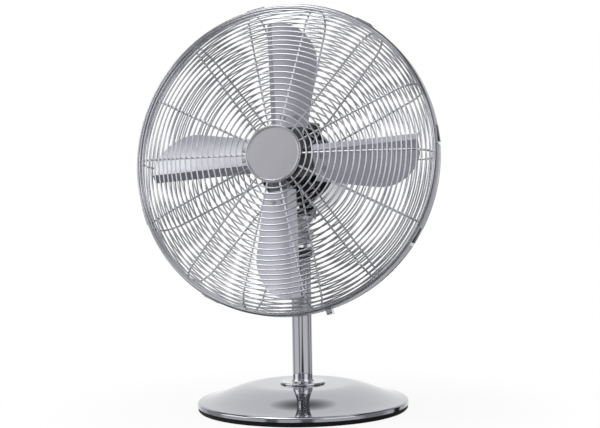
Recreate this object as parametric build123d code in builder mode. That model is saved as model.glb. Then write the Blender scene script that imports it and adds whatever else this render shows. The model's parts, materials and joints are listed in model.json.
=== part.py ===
"""Chrome desk fan: weighted round base, pole, tilting neck, swinging motor head and wire guards.

Millimetres. +Z is up, the origin is the middle of the foot, and the fan faces -Y. The head is
drawn at its rest tilt. Along the fan axis a place is given as s, forward of the guard ring.
"""
import os
from math import cos, degrees, radians, sin, sqrt

from build123d import *

# Fits and clearances
RUN_CLEAR = 0.05
PRESS_CLEAR = 0.02
WELD_GAP = 0.05
SEAT_CLEAR = 0.3
HOLE_CLEAR = 0.4

# Base
BASE_R = 152.5
FOOT_H = 7.0
FOOT_WIDTH = 14.0
FOOT_INSET = 1.0
FOOT_CHAMFER = 2.0
COVER_WALL = 1.2
COVER_RIM_H = 7.0
DOME_H = 37.0
DOME_TOP_R = 66.0
DOME_MID_R = 110.0
DOME_MID_H = 26.3
DOME_EDGE_SLOPE = 0.14
PLATE_T = 1.5
WEIGHT_R = 116.0
WEIGHT_RIM_H = 3.5
WEIGHT_SHOULDER_R = 62.0
WEIGHT_SHOULDER_H = 15.0
WEIGHT_TOP_R = 28.0
PLATE_SCREW_PCD = 200.0
PLATE_SCREW_R = 2.0
PLATE_SCREW_HEAD_R = 4.0
PLATE_SCREW_HEAD_H = 2.0
PLATE_SCREW_REACH = 2.5
PLATE_SCREW_COUNT = 4
BASE_BOLT_R = 5.0
BASE_BOLT_HEAD_AF = 16.0
BASE_BOLT_HEAD_H = 5.5
BASE_WASHER_R = 11.0
BASE_WASHER_T = 1.5

# Pole
POLE_R = 14.5
POLE_WALL = 1.5
POLE_TOP_Z = 222.0
PLUG_H = 28.0
FLANGE_R = 33.0
FLANGE_H = 5.5
FLANGE_EDGE = 3.0
FLANGE_SLOPE = 0.1
FLANGE_WALL = 1.6
COLLAR_WALL = 2.4
COLLAR_LAP = 4.0
COLLAR_FILLET = 0.8

# Neck
TILT_Z = 250.0
REST_TILT = 10.0
SPIGOT_H = 30.0
YOKE_FLOOR_H = 12.0
EAR_R = 12.0
EAR_T = 6.0
TONGUE_T = 16.0
TONGUE_R = 12.0
TONGUE_WIDTH = 19.2
TILT_BOLT_R = 4.0
TILT_BOLT_SINK = 9.0
TILT_NUT_AF = 13.0
TILT_NUT_T = 4.0
TILT_KNOB_R = 12.5
TILT_KNOB_H = 15.0
TILT_KNOB_LOBES = 8
TILT_KNOB_FLUTE_R = 3.0
TILT_KNOB_FLUTE_OUT = 1.0
TILT_KNOB_FILLET = 1.5
NECK_R = 19.0
NECK_LIP_H = 3.0
NECK_SKIRT_H = 15.0
NECK_TOP_H = 27.0
NECK_FLARE_LOW = 0.6
NECK_FLARE_HIGH = 0.3
THRUST_T = 1.0
THRUST_R = 16.0
PIVOT_R = 5.0
PIVOT_SINK = 12.0
PIVOT_BUSH_WALL = 2.0
BRACKET_BOSS_R = 15.0
BRACKET_H = 9.0
BRACKET_POST_X = 24.0
BRACKET_POST_Y = 9.0
BRACKET_SCREW_R = 2.0
BRACKET_SCREW_SPACING = 15.0
BRACKET_SCREW_HEAD_R = 3.6
BRACKET_SCREW_HEAD_H = 2.0
PIVOT_CLIP_R = 8.0
PIVOT_CLIP_T = 1.0

# Head, measured from the tilt bolt
HEAD_REACH = 82.6
HEAD_RISE = 98.0

# Guards
BAND_R = 220.0
BAND_T = 1.2
BAND_WIDTH = 18.0
RIM_WIRE_R = 2.0
RIM_SPACING = 6.0
WIRE_SIDES = 8
WELD_DEPTH = 0.4
SPOKE_COUNT = 14
SPOKE_ANGLE = 1.5
SPOKE_WIRE_R = 1.4
RING_WIRE_R = 1.1
SPOKE_START_R = 30.0
FRONT_DEPTH = 44.0
REAR_DEPTH = 49.5
FACE_DROP = 5.5
SHOULDER_R = 187.0
FIRST_RING_R = 47.0
INNER_PITCH = 8.45
INNER_RINGS = 12
OUTER_PITCH = 6.5
CLIP_ANGLES = (8.0, 59.5, 103.0, 149.0, 201.5, 243.0, 330.5)
CLIP_LENGTH = 27.0
CLIP_T = 1.0
CLIP_LIFT = 1.0
CLIP_LEVER_WIDTH = 12.0
CLIP_LEVER_REACH = 9.0
LOCK_ANGLE = 289.5
LOCK_SIZE = 8.0
LOCK_WIDTH = 12.0
LOCK_SCREW_R = 1.5
LOCK_SCREW_HEAD_R = 3.0
LOCK_SCREW_HEAD_H = 2.0
BADGE_R = 40.0
BADGE_H = 4.6
BEZEL_WIDTH = 4.0
BEZEL_FILLET = 1.3
BADGE_RECESS = 0.8
CLAMP_DISC_R = 38.0
CLAMP_DISC_T = 1.2
CLAMP_GAP = 0.15
BADGE_SCREW_R = 2.0
BADGE_SCREW_HEAD_R = 4.0
BADGE_SCREW_HEAD_H = 2.0
BADGE_SCREW_SPACING = 34.0
BADGE_SCREW_REACH = 2.3
REAR_DISC_R = 43.0
REAR_DISC_T = 1.2
GUARD_NUT_R = 26.0
GUARD_NUT_H = 7.0
GUARD_NUT_FLUTES = 12
GUARD_NUT_FLUTE_R = 2.5
GUARD_NUT_FLUTE_OUT = 0.8

# Motor
MOTOR_R = 54.0
BELL_T = 3.0
BELL_WALL = 3.0
BELL_DEPTH = 14.0
STACK_LENGTH = 26.0
STATOR_BORE_R = 26.0
AIR_GAP = 0.5
WINDING_IN_R = 29.0
WINDING_OUT_R = 45.0
WINDING_H = 9.0
WINDING_FILLET = 2.2
SHAFT_R = 4.0
BUSH_WALL = 3.0
BUSH_LENGTH = 12.0
BELL_BOSS_R = 11.0
GUARD_BOSS_R = 15.0
PAD_R = 30.0
PAD_H = 2.4
VENT_COUNT = 12
VENT_PCD = 82.0
VENT_LENGTH = 13.0
VENT_WIDTH = 6.0
MOTOR_BOLT_PCD = 98.0
MOTOR_BOLT_ANGLE = 45.0
MOTOR_BOLT_R = 2.0
MOTOR_BOLT_COUNT = 4
MOTOR_BOLT_HEAD_R = 3.6
MOTOR_BOLT_HEAD_H = 2.5
HOUSING_R = 57.0
HOUSING_WALL = 1.2
HOUSING_LIP = 3.0
HOUSING_LENGTH = 94.0
HOUSING_CORNER_R = 24.0
GEARCASE_X = 36.0
GEARCASE_TOP = 30.0
GEARCASE_BOTTOM = 16.0
GEARCASE_LENGTH = 22.0
GEARCASE_FILLET = 4.0
GEAR_SHAFT_END = 14.0
POST_R = 4.0
POST_SPACING = 24.0
POST_RISE = 22.0
HOUSING_SCREW_R = 1.8
HOUSING_SCREW_HEAD_R = 3.8
HOUSING_SCREW_HEAD_H = 2.2
HOUSING_SCREW_REACH = 8.0
CLUTCH_STEM_R = 3.0
CLUTCH_STEM_SINK = 14.0
CLUTCH_KNOB_R = 9.0
CLUTCH_KNOB_H = 16.0
CLUTCH_GAP = 1.5
CLUTCH_FILLET = 2.0
SWITCH_SIZE = 22.0
SWITCH_H = 9.0
SWITCH_DROP = 18.0
SWITCH_NECK_R = 4.0
SWITCH_SPINDLE_R = 2.5
SPINDLE_SINK = 6.0
SPEED_KNOB_R = 11.0
SPEED_KNOB_H = 13.0
SPEED_KNOB_GAP = 1.2
SPEED_GRIP_WIDTH = 5.0
SPEED_GRIP_H = 4.0
SPEED_FILLET = 1.0
GLAND_X = 20.0
GLAND_DROP = 14.0
GLAND_R = 5.0
GLAND_FLANGE_R = 7.0
GLAND_FLANGE_H = 3.0
GLAND_BORE_R = 3.5

# Blades
BLADE_COUNT = 4
BLADE_T = 1.0
BLADE_SWEEP = 5.0
TIP_R = 195.0
ROOT_Y = 44.0
EDGE_X = -16.0
CREASE_X = -6.0
LEAD_ROOT_X = 34.0
LEAD_MAX_X = 50.0
LEAD_MAX_Y = 128.0
TIP_LEAD_X = 10.0
BLADE_PITCH = 21.0
CAMBER_R = 131.0
CAMBER_MID_X = 22.6
CAMBER_MID_S = -2.2
LIP_ANGLE = 45.0
HUB_R = 25.0
HUB_FRONT = 15.0
HUB_LENGTH = 30.0
ARM_T = 2.0
ARM_GAP = 0.1
ARM_WIDTH = 30.0
ARM_X = 11.0
ARM_TIP_Y = 70.0
RIVET_R = 2.4
RIVET_HEAD_R = 4.2
RIVET_HEAD_H = 1.4
RIVET_SEAT = 0.1
RIVET_Y = 58.0
RIVET_SPACING = 16.0
SHAFT_FRONT = 18.0

# Frames: the tilt bolt, the swing axis of the head and the fan axis
tilt_cos = cos(radians(REST_TILT))
tilt_sin = sin(radians(REST_TILT))
forward = Vector(0, -tilt_cos, tilt_sin)
head_up = Vector(0, tilt_sin, tilt_cos)
tilt_point = Vector(0, 0, TILT_Z)
ring_centre = tilt_point + forward * HEAD_REACH + head_up * HEAD_RISE
HEAD = Plane(origin=ring_centre, x_dir=(1, 0, 0), z_dir=forward)
NECK = Plane(origin=tilt_point, x_dir=(1, 0, 0), z_dir=head_up)
FRONT_HALF = Plane(origin=ring_centre, x_dir=(1, 0, 0), z_dir=Vector(1, 0, 0).cross(forward))
REAR_HALF = Plane(origin=ring_centre, x_dir=(1, 0, 0), z_dir=Vector(1, 0, 0).cross(-forward))
NECK_HALF = Plane(origin=tilt_point, x_dir=(1, 0, 0), z_dir=Vector(1, 0, 0).cross(head_up))
TILT_SIDE = Plane(origin=tilt_point, x_dir=(0, 1, 0), z_dir=(1, 0, 0))
NECK_SIDE = Plane(origin=tilt_point, x_dir=-forward, z_dir=(1, 0, 0))
FAN_AXIS = Axis(ring_centre, forward)
SWING_AXIS = Axis(tilt_point, head_up)


def outline(plane, *points):
    """Closed sketch with straight sides."""
    with BuildSketch(plane) as drawn:
        with BuildLine():
            Polyline(*points, close=True)
        make_face()
    return drawn.sketch


def band(plane, inner, outer, low, high):
    """Half section of a plain ring, for a revolve."""
    return outline(plane, (inner, low), (outer, low), (outer, high), (inner, high))


def turned_head(angle):
    """Plane across the fan axis through the guard ring, turned about that axis."""
    x_dir = Vector(1, 0, 0) * cos(radians(angle)) + head_up * sin(radians(angle))
    return Plane(origin=ring_centre, x_dir=x_dir, z_dir=forward)


def finish(piece, name):
    """Label a finished piece and write it to its own file."""
    piece.label = name
    export_step(piece, f"parts/{name}.step")


os.makedirs("parts", exist_ok=True)

# Stand: foot, base and pole
foot_r = BASE_R - FOOT_INSET
with BuildPart() as foot_ring:
    revolve(band(Plane.XZ, foot_r - FOOT_WIDTH, foot_r, 0, FOOT_H), axis=Axis.Z)
    chamfer(foot_ring.edges().group_by(Axis.Z)[0].sort_by(SortBy.RADIUS)[-1], FOOT_CHAMFER)
finish(foot_ring.part, "foot_ring")

plate_top = FOOT_H + PLATE_T
with BuildPart() as base_plate:
    with BuildSketch(Plane.XY.offset(FOOT_H)):
        Circle(BASE_R - COVER_WALL - SEAT_CLEAR)
        with PolarLocations(PLATE_SCREW_PCD / 2, PLATE_SCREW_COUNT):
            Circle(PLATE_SCREW_R + RUN_CLEAR, mode=Mode.SUBTRACT)
    extrude(amount=PLATE_T)
finish(base_plate.part, "base_plate")

cover_under = DOME_H - COVER_WALL
rim_top = FOOT_H + COVER_RIM_H
with BuildPart() as base_cover:
    with BuildSketch(Plane.XZ):
        with BuildLine():
            dome = Spline(
                (DOME_TOP_R, DOME_H),
                (DOME_MID_R, DOME_MID_H),
                (BASE_R - COVER_RIM_H / 2, rim_top),
                tangents=((1, 0), (1, -DOME_EDGE_SLOPE)),
            )
            rim = TangentArc(dome @ 1, (BASE_R, rim_top - COVER_RIM_H / 2), tangent=dome % 1)
            Polyline(rim @ 1, (BASE_R, FOOT_H), (BASE_R - COVER_WALL, FOOT_H),
                     (BASE_R - COVER_WALL, rim_top - COVER_RIM_H / 2 - COVER_WALL / 2))
            inner_rim = Line((BASE_R - COVER_WALL, rim_top - COVER_RIM_H / 2 - COVER_WALL / 2),
                             (BASE_R - COVER_RIM_H / 2 - COVER_WALL, rim_top - COVER_WALL))
            inner_dome = Spline(
                inner_rim @ 1,
                (DOME_MID_R, DOME_MID_H - COVER_WALL),
                (DOME_TOP_R, cover_under),
                tangents=((-1, DOME_EDGE_SLOPE), (-1, 0)),
            )
            Polyline(inner_dome @ 1, (BASE_BOLT_R + HOLE_CLEAR, cover_under),
                     (BASE_BOLT_R + HOLE_CLEAR, DOME_H), dome @ 0)
        make_face()
    revolve(axis=Axis.Z)
finish(base_cover.part, "base_cover")

head_pocket_h = BASE_BOLT_HEAD_H + BASE_WASHER_T + SEAT_CLEAR
with BuildPart() as base_weight:
    revolve(outline(
        Plane.XZ,
        (BASE_BOLT_R + HOLE_CLEAR, plate_top),
        (WEIGHT_R, plate_top),
        (WEIGHT_R, plate_top + WEIGHT_RIM_H),
        (WEIGHT_SHOULDER_R, plate_top + WEIGHT_SHOULDER_H),
        (WEIGHT_TOP_R, cover_under),
        (BASE_BOLT_R + HOLE_CLEAR, cover_under),
    ), axis=Axis.Z)
    with Locations(Plane.XY.offset(plate_top)):
        Cylinder(BASE_WASHER_R + SEAT_CLEAR, head_pocket_h, mode=Mode.SUBTRACT,
                 align=(Align.CENTER, Align.CENTER, Align.MIN))
    with BuildSketch(Plane.XY.offset(plate_top)):
        with PolarLocations(PLATE_SCREW_PCD / 2, PLATE_SCREW_COUNT):
            Circle(PLATE_SCREW_R + RUN_CLEAR)
    extrude(amount=PLATE_SCREW_REACH + RUN_CLEAR, mode=Mode.SUBTRACT)
finish(base_weight.part, "base_weight")

with BuildPart() as plate_screws:
    with BuildSketch(Plane.XY.offset(FOOT_H)):
        with PolarLocations(PLATE_SCREW_PCD / 2, PLATE_SCREW_COUNT):
            Circle(PLATE_SCREW_HEAD_R)
    extrude(amount=-PLATE_SCREW_HEAD_H)
    with BuildSketch(Plane.XY.offset(FOOT_H)):
        with PolarLocations(PLATE_SCREW_PCD / 2, PLATE_SCREW_COUNT):
            Circle(PLATE_SCREW_R)
    extrude(amount=PLATE_T + PLATE_SCREW_REACH)
finish(plate_screws.part, "plate_screws")

washer_top = plate_top + head_pocket_h
with BuildPart() as base_washer:
    revolve(band(Plane.XZ, BASE_BOLT_R + RUN_CLEAR, BASE_WASHER_R, washer_top - BASE_WASHER_T, washer_top),
            axis=Axis.Z)
finish(base_washer.part, "base_washer")

bolt_head_top = washer_top - BASE_WASHER_T
with BuildPart() as base_bolt:
    with BuildSketch(Plane.XY.offset(bolt_head_top)):
        RegularPolygon(BASE_BOLT_HEAD_AF / 2, 6, major_radius=False)
    extrude(amount=-BASE_BOLT_HEAD_H)
    with BuildSketch(Plane.XY.offset(bolt_head_top)):
        Circle(BASE_BOLT_R)
    extrude(amount=DOME_H + PLUG_H - bolt_head_top)
finish(base_bolt.part, "base_bolt")

pole_bore_r = POLE_R - POLE_WALL
with BuildPart() as pole_plug:
    revolve(band(Plane.XZ, BASE_BOLT_R + RUN_CLEAR, pole_bore_r - RUN_CLEAR, DOME_H, DOME_H + PLUG_H),
            axis=Axis.Z)
finish(pole_plug.part, "pole_plug")

with BuildPart() as pole:
    revolve(band(Plane.XZ, pole_bore_r, POLE_R, DOME_H, POLE_TOP_Z), axis=Axis.Z)
finish(pole.part, "pole")

flange_bore_r = POLE_R + RUN_CLEAR
flange_top = DOME_H + FLANGE_H
with BuildPart() as pole_flange:
    with BuildSketch(Plane.XZ):
        with BuildLine():
            flare = Spline(
                (FLANGE_R, DOME_H + FLANGE_EDGE),
                (flange_bore_r + FLANGE_WALL, flange_top),
                tangents=((-1, FLANGE_SLOPE), (0, 1)),
            )
            Polyline(flare @ 1, (flange_bore_r, flange_top), (flange_bore_r, DOME_H),
                     (FLANGE_R, DOME_H), flare @ 0)
        make_face()
    revolve(axis=Axis.Z)
finish(pole_flange.part, "pole_flange")

# Neck: yoke on the pole, clamp bolt and knob, tilting piece
yoke_floor = POLE_TOP_Z + YOKE_FLOOR_H
slot_half = TONGUE_T / 2 + SEAT_CLEAR
yoke_half = slot_half + EAR_T
with BuildPart() as neck_yoke:
    revolve(band(Plane.XZ, 0, POLE_R, POLE_TOP_Z, yoke_floor), axis=Axis.Z)
    revolve(band(Plane.XZ, 0, pole_bore_r - RUN_CLEAR, POLE_TOP_Z - SPIGOT_H, POLE_TOP_Z), axis=Axis.Z)
    with BuildSketch(TILT_SIDE):
        Circle(EAR_R)
        with Locations((0, (yoke_floor - TILT_Z) / 2)):
            Rectangle(2 * EAR_R, TILT_Z - yoke_floor)
    extrude(amount=yoke_half, both=True)
    with BuildSketch(TILT_SIDE):
        Circle(TONGUE_R + SEAT_CLEAR)
        with Locations((0, EAR_R)):
            Rectangle(4 * EAR_R, 2 * EAR_R)
        with Locations((0, (yoke_floor - TILT_Z) / 2)):
            Rectangle(4 * EAR_R, TILT_Z - yoke_floor)
    extrude(amount=slot_half, both=True, mode=Mode.SUBTRACT)
    with BuildSketch(TILT_SIDE):
        Circle(TILT_BOLT_R + RUN_CLEAR)
    extrude(amount=yoke_half, both=True, mode=Mode.SUBTRACT)
finish(neck_yoke.part, "neck_yoke")

with BuildPart() as pole_collar:
    revolve(band(Plane.XZ, POLE_R + RUN_CLEAR, POLE_R + COLLAR_WALL, POLE_TOP_Z - COLLAR_LAP, yoke_floor),
            axis=Axis.Z)
    fillet(pole_collar.edges().filter_by(GeomType.CIRCLE).sort_by(SortBy.RADIUS)[-2:], COLLAR_FILLET)
finish(pole_collar.part, "pole_collar")

nut_face = yoke_half
with BuildPart() as tilt_nut:
    with BuildSketch(TILT_SIDE.offset(nut_face)):
        RegularPolygon(TILT_NUT_AF / 2, 6, major_radius=False)
        Circle(TILT_BOLT_R + RUN_CLEAR, mode=Mode.SUBTRACT)
    extrude(amount=TILT_NUT_T)
finish(tilt_nut.part, "tilt_nut")

with BuildPart() as tilt_bolt:
    with BuildSketch(TILT_SIDE.offset(nut_face + TILT_NUT_T)):
        Circle(TILT_BOLT_R)
    extrude(amount=-(nut_face + TILT_NUT_T + yoke_half + TILT_BOLT_SINK))
finish(tilt_bolt.part, "tilt_bolt")

with BuildPart() as tilt_knob:
    with BuildSketch(TILT_SIDE.offset(-yoke_half)):
        Circle(TILT_KNOB_R)
        with PolarLocations(TILT_KNOB_R + TILT_KNOB_FLUTE_OUT, TILT_KNOB_LOBES):
            Circle(TILT_KNOB_FLUTE_R, mode=Mode.SUBTRACT)
    extrude(amount=-TILT_KNOB_H)
    fillet(tilt_knob.faces().sort_by(Axis.X)[0].edges(), TILT_KNOB_FILLET)
    with BuildSketch(TILT_SIDE.offset(-yoke_half)):
        Circle(TILT_BOLT_R + PRESS_CLEAR)
    extrude(amount=-TILT_BOLT_SINK - PRESS_CLEAR, mode=Mode.SUBTRACT)
finish(tilt_knob.part, "tilt_knob")

with BuildPart() as neck_head:
    with BuildSketch(NECK_SIDE):
        Circle(TONGUE_R)
        Rectangle(TONGUE_WIDTH, NECK_TOP_H - NECK_LIP_H, align=(Align.CENTER, Align.MIN))
    extrude(amount=TONGUE_T / 2, both=True)
    with BuildSketch(NECK_HALF):
        with BuildLine():
            flare = Spline(
                (TONGUE_R, NECK_SKIRT_H),
                (NECK_R, NECK_TOP_H - NECK_LIP_H),
                tangents=((NECK_FLARE_LOW, 1), (NECK_FLARE_HIGH, 1)),
            )
            Polyline(flare @ 1, (NECK_R, NECK_TOP_H), (0, NECK_TOP_H), (0, NECK_SKIRT_H), flare @ 0)
        make_face()
    revolve(axis=SWING_AXIS)
    with BuildSketch(NECK.offset(NECK_TOP_H)):
        Circle(PIVOT_R + PRESS_CLEAR)
    extrude(amount=-PIVOT_SINK, mode=Mode.SUBTRACT)
    with BuildSketch(NECK_SIDE):
        Circle(TILT_BOLT_R + RUN_CLEAR)
    extrude(amount=TONGUE_T, both=True, mode=Mode.SUBTRACT)
finish(neck_head.part, "neck_head")

thrust_top = NECK_TOP_H + THRUST_T
boss_top = thrust_top + BRACKET_H
with BuildPart() as thrust_washer:
    revolve(band(NECK_HALF, PIVOT_R + RUN_CLEAR, THRUST_R, NECK_TOP_H, thrust_top), axis=SWING_AXIS)
finish(thrust_washer.part, "thrust_washer")

clip_low = boss_top + SEAT_CLEAR
with BuildPart() as pivot_pin:
    revolve(band(NECK_HALF, 0, PIVOT_R, NECK_TOP_H - PIVOT_SINK, clip_low + PIVOT_CLIP_T), axis=SWING_AXIS)
finish(pivot_pin.part, "pivot_pin")

with BuildPart() as pivot_clip:
    revolve(band(NECK_HALF, PIVOT_R + PRESS_CLEAR, PIVOT_CLIP_R, clip_low, clip_low + PIVOT_CLIP_T),
            axis=SWING_AXIS)
finish(pivot_clip.part, "pivot_clip")

bush_r = PIVOT_R + RUN_CLEAR + PIVOT_BUSH_WALL
with BuildPart() as pivot_bush:
    revolve(band(NECK_HALF, PIVOT_R + RUN_CLEAR, bush_r, thrust_top, boss_top), axis=SWING_AXIS)
finish(pivot_bush.part, "pivot_bush")

# Motor stations along the fan axis, from the front bell backwards
front_disc_s = -REAR_DEPTH - SPOKE_WIRE_R - WELD_GAP
pad_s = front_disc_s - REAR_DISC_T
bell_face_s = pad_s - PAD_H
stack_front_s = bell_face_s - BELL_T - BELL_DEPTH
stack_rear_s = stack_front_s - STACK_LENGTH
rear_bell_s = stack_rear_s - BELL_DEPTH
case_front_s = rear_bell_s - BELL_T
case_rear_s = case_front_s - GEARCASE_LENGTH
housing_front_s = bell_face_s - HOUSING_LIP
housing_rear_s = housing_front_s - HOUSING_LENGTH
wall_inner_s = housing_rear_s + HOUSING_WALL
bearing_r = SHAFT_R + RUN_CLEAR + BUSH_WALL

# Bracket: a boss on the swing pivot, an arm running back and a post up to the rear bell
foot_pad_h = HEAD_RISE - MOTOR_R + BELL_WALL
post_back = -(HEAD_REACH + rear_bell_s)
with BuildPart() as motor_bracket:
    with BuildSketch(NECK.offset(thrust_top)):
        Circle(BRACKET_BOSS_R)
        with Locations((0, post_back / 2)):
            Rectangle(BRACKET_POST_X, post_back + BRACKET_POST_Y)
    extrude(amount=BRACKET_H)
    with BuildSketch(NECK.offset(boss_top)):
        with Locations((0, post_back)):
            Rectangle(BRACKET_POST_X, BRACKET_POST_Y)
    extrude(amount=foot_pad_h - boss_top)
    with BuildSketch(NECK.offset(thrust_top)):
        Circle(bush_r + PRESS_CLEAR)
    extrude(amount=BRACKET_H, mode=Mode.SUBTRACT)
    with BuildSketch(NECK.offset(thrust_top)):
        with Locations((0, post_back)):
            with GridLocations(BRACKET_SCREW_SPACING, 0, 2, 1):
                Circle(BRACKET_SCREW_R + RUN_CLEAR)
    extrude(amount=foot_pad_h - thrust_top, mode=Mode.SUBTRACT)
finish(motor_bracket.part, "motor_bracket")

with BuildPart() as bracket_screws:
    with BuildSketch(NECK.offset(thrust_top)):
        with Locations((0, post_back)):
            with GridLocations(BRACKET_SCREW_SPACING, 0, 2, 1):
                Circle(BRACKET_SCREW_R)
    extrude(amount=foot_pad_h - thrust_top + BELL_WALL)
    with BuildSketch(NECK.offset(thrust_top)):
        with Locations((0, post_back)):
            with GridLocations(BRACKET_SCREW_SPACING, 0, 2, 1):
                Circle(BRACKET_SCREW_HEAD_R)
    extrude(amount=-BRACKET_SCREW_HEAD_H)
finish(bracket_screws.part, "bracket_screws")

# Motor
bush_front_s = front_disc_s + GUARD_NUT_H
with BuildPart() as front_bell:
    revolve(outline(
        FRONT_HALF,
        (bearing_r + PRESS_CLEAR, bush_front_s),
        (GUARD_BOSS_R, bush_front_s),
        (GUARD_BOSS_R, pad_s),
        (PAD_R, pad_s),
        (PAD_R, bell_face_s),
        (MOTOR_R, bell_face_s),
        (MOTOR_R, stack_front_s),
        (MOTOR_R - BELL_WALL, stack_front_s),
        (MOTOR_R - BELL_WALL, bell_face_s - BELL_T),
        (bearing_r + PRESS_CLEAR, bell_face_s - BELL_T),
    ), axis=FAN_AXIS)
    with BuildSketch(HEAD.offset(bell_face_s)):
        with PolarLocations(VENT_PCD / 2, VENT_COUNT):
            SlotOverall(VENT_LENGTH, VENT_WIDTH)
    extrude(amount=-BELL_T, mode=Mode.SUBTRACT)
    with BuildSketch(HEAD.offset(stack_front_s)):
        with PolarLocations(MOTOR_BOLT_PCD / 2, MOTOR_BOLT_COUNT, start_angle=MOTOR_BOLT_ANGLE):
            Circle(MOTOR_BOLT_R + RUN_CLEAR)
    extrude(amount=bell_face_s - stack_front_s, mode=Mode.SUBTRACT)
finish(front_bell.part, "front_bell")

with BuildPart() as rear_bell:
    revolve(outline(
        FRONT_HALF,
        (bearing_r + PRESS_CLEAR, case_front_s),
        (MOTOR_R, case_front_s),
        (MOTOR_R, stack_rear_s),
        (MOTOR_R - BELL_WALL, stack_rear_s),
        (MOTOR_R - BELL_WALL, rear_bell_s),
        (BELL_BOSS_R, rear_bell_s),
        (BELL_BOSS_R, case_front_s + BUSH_LENGTH),
        (bearing_r + PRESS_CLEAR, case_front_s + BUSH_LENGTH),
    ), axis=FAN_AXIS)
    with BuildSketch(NECK.offset(foot_pad_h)):
        with Locations((0, post_back)):
            Rectangle(BRACKET_POST_X + 2 * BELL_WALL, BRACKET_POST_Y + 2 * BELL_WALL)
    extrude(amount=-2 * BELL_WALL, mode=Mode.SUBTRACT)
    with BuildSketch(NECK.offset(foot_pad_h)):
        with Locations((0, post_back)):
            with GridLocations(BRACKET_SCREW_SPACING, 0, 2, 1):
                Circle(BRACKET_SCREW_R + RUN_CLEAR)
    extrude(amount=BELL_WALL + RUN_CLEAR, mode=Mode.SUBTRACT)
    with BuildSketch(HEAD.offset(stack_rear_s)):
        with PolarLocations(MOTOR_BOLT_PCD / 2, MOTOR_BOLT_COUNT, start_angle=MOTOR_BOLT_ANGLE):
            Circle(MOTOR_BOLT_R + RUN_CLEAR)
    extrude(amount=case_front_s - stack_rear_s, mode=Mode.SUBTRACT)
finish(rear_bell.part, "rear_bell")

with BuildPart() as stator:
    revolve(band(FRONT_HALF, STATOR_BORE_R, MOTOR_R, stack_rear_s, stack_front_s), axis=FAN_AXIS)
    with BuildSketch(HEAD.offset(stack_front_s)):
        with PolarLocations(MOTOR_BOLT_PCD / 2, MOTOR_BOLT_COUNT, start_angle=MOTOR_BOLT_ANGLE):
            Circle(MOTOR_BOLT_R + RUN_CLEAR)
    extrude(amount=-STACK_LENGTH, mode=Mode.SUBTRACT)
finish(stator.part, "stator")

with BuildPart() as windings:
    revolve(band(FRONT_HALF, WINDING_IN_R, WINDING_OUT_R, stack_front_s, stack_front_s + WINDING_H),
            axis=FAN_AXIS)
    revolve(band(FRONT_HALF, WINDING_IN_R, WINDING_OUT_R, stack_rear_s - WINDING_H, stack_rear_s),
            axis=FAN_AXIS)
    fillet(windings.edges().filter_by(GeomType.CIRCLE), WINDING_FILLET)
finish(windings.part, "windings")

with BuildPart() as motor_bolts:
    with BuildSketch(HEAD.offset(case_front_s)):
        with PolarLocations(MOTOR_BOLT_PCD / 2, MOTOR_BOLT_COUNT, start_angle=MOTOR_BOLT_ANGLE):
            Circle(MOTOR_BOLT_R)
    extrude(amount=bell_face_s - case_front_s)
    with BuildSketch(HEAD.offset(case_front_s)):
        with PolarLocations(MOTOR_BOLT_PCD / 2, MOTOR_BOLT_COUNT, start_angle=MOTOR_BOLT_ANGLE):
            Circle(MOTOR_BOLT_HEAD_R)
    extrude(amount=-MOTOR_BOLT_HEAD_H)
finish(motor_bolts.part, "motor_bolts")

with BuildPart() as front_bush:
    revolve(band(FRONT_HALF, SHAFT_R + RUN_CLEAR, bearing_r, bush_front_s - BUSH_LENGTH, bush_front_s),
            axis=FAN_AXIS)
finish(front_bush.part, "front_bush")

with BuildPart() as rear_bush:
    revolve(band(FRONT_HALF, SHAFT_R + RUN_CLEAR, bearing_r, case_front_s, case_front_s + BUSH_LENGTH),
            axis=FAN_AXIS)
finish(rear_bush.part, "rear_bush")

shaft_rear_s = case_front_s - GEAR_SHAFT_END
with BuildPart() as motor_shaft:
    revolve(band(FRONT_HALF, 0, SHAFT_R, shaft_rear_s, SHAFT_FRONT), axis=FAN_AXIS)
finish(motor_shaft.part, "motor_shaft")

with BuildPart() as rotor_core:
    revolve(band(FRONT_HALF, SHAFT_R + PRESS_CLEAR, STATOR_BORE_R - AIR_GAP, stack_rear_s, stack_front_s),
            axis=FAN_AXIS)
finish(rotor_core.part, "rotor_core")

# Gear case behind the motor, with two posts for the rear shell
clutch_s = (case_front_s + case_rear_s) / 2
with BuildPart() as gear_case:
    with BuildSketch(HEAD.offset(case_front_s)):
        with Locations((0, (GEARCASE_TOP - GEARCASE_BOTTOM) / 2)):
            RectangleRounded(GEARCASE_X, GEARCASE_TOP + GEARCASE_BOTTOM, GEARCASE_FILLET)
    extrude(amount=-GEARCASE_LENGTH)
    with BuildSketch(HEAD.offset(case_rear_s)):
        with Locations((0, POST_RISE)):
            with GridLocations(POST_SPACING, 0, 2, 1):
                Circle(POST_R)
    extrude(amount=wall_inner_s - case_rear_s)
    with BuildSketch(HEAD.offset(wall_inner_s)):
        with Locations((0, POST_RISE)):
            with GridLocations(POST_SPACING, 0, 2, 1):
                Circle(HOUSING_SCREW_R + RUN_CLEAR)
    extrude(amount=HOUSING_SCREW_REACH, mode=Mode.SUBTRACT)
    with BuildSketch(HEAD.offset(case_front_s)):
        Circle(SHAFT_R + HOLE_CLEAR)
    extrude(amount=-GEAR_SHAFT_END - HOLE_CLEAR, mode=Mode.SUBTRACT)
    with BuildSketch(NECK.offset(HEAD_RISE + GEARCASE_TOP)):
        with Locations((0, -(HEAD_REACH + clutch_s))):
            Circle(CLUTCH_STEM_R + RUN_CLEAR)
    extrude(amount=-CLUTCH_STEM_SINK - HOLE_CLEAR, mode=Mode.SUBTRACT)
finish(gear_case.part, "gear_case")

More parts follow.
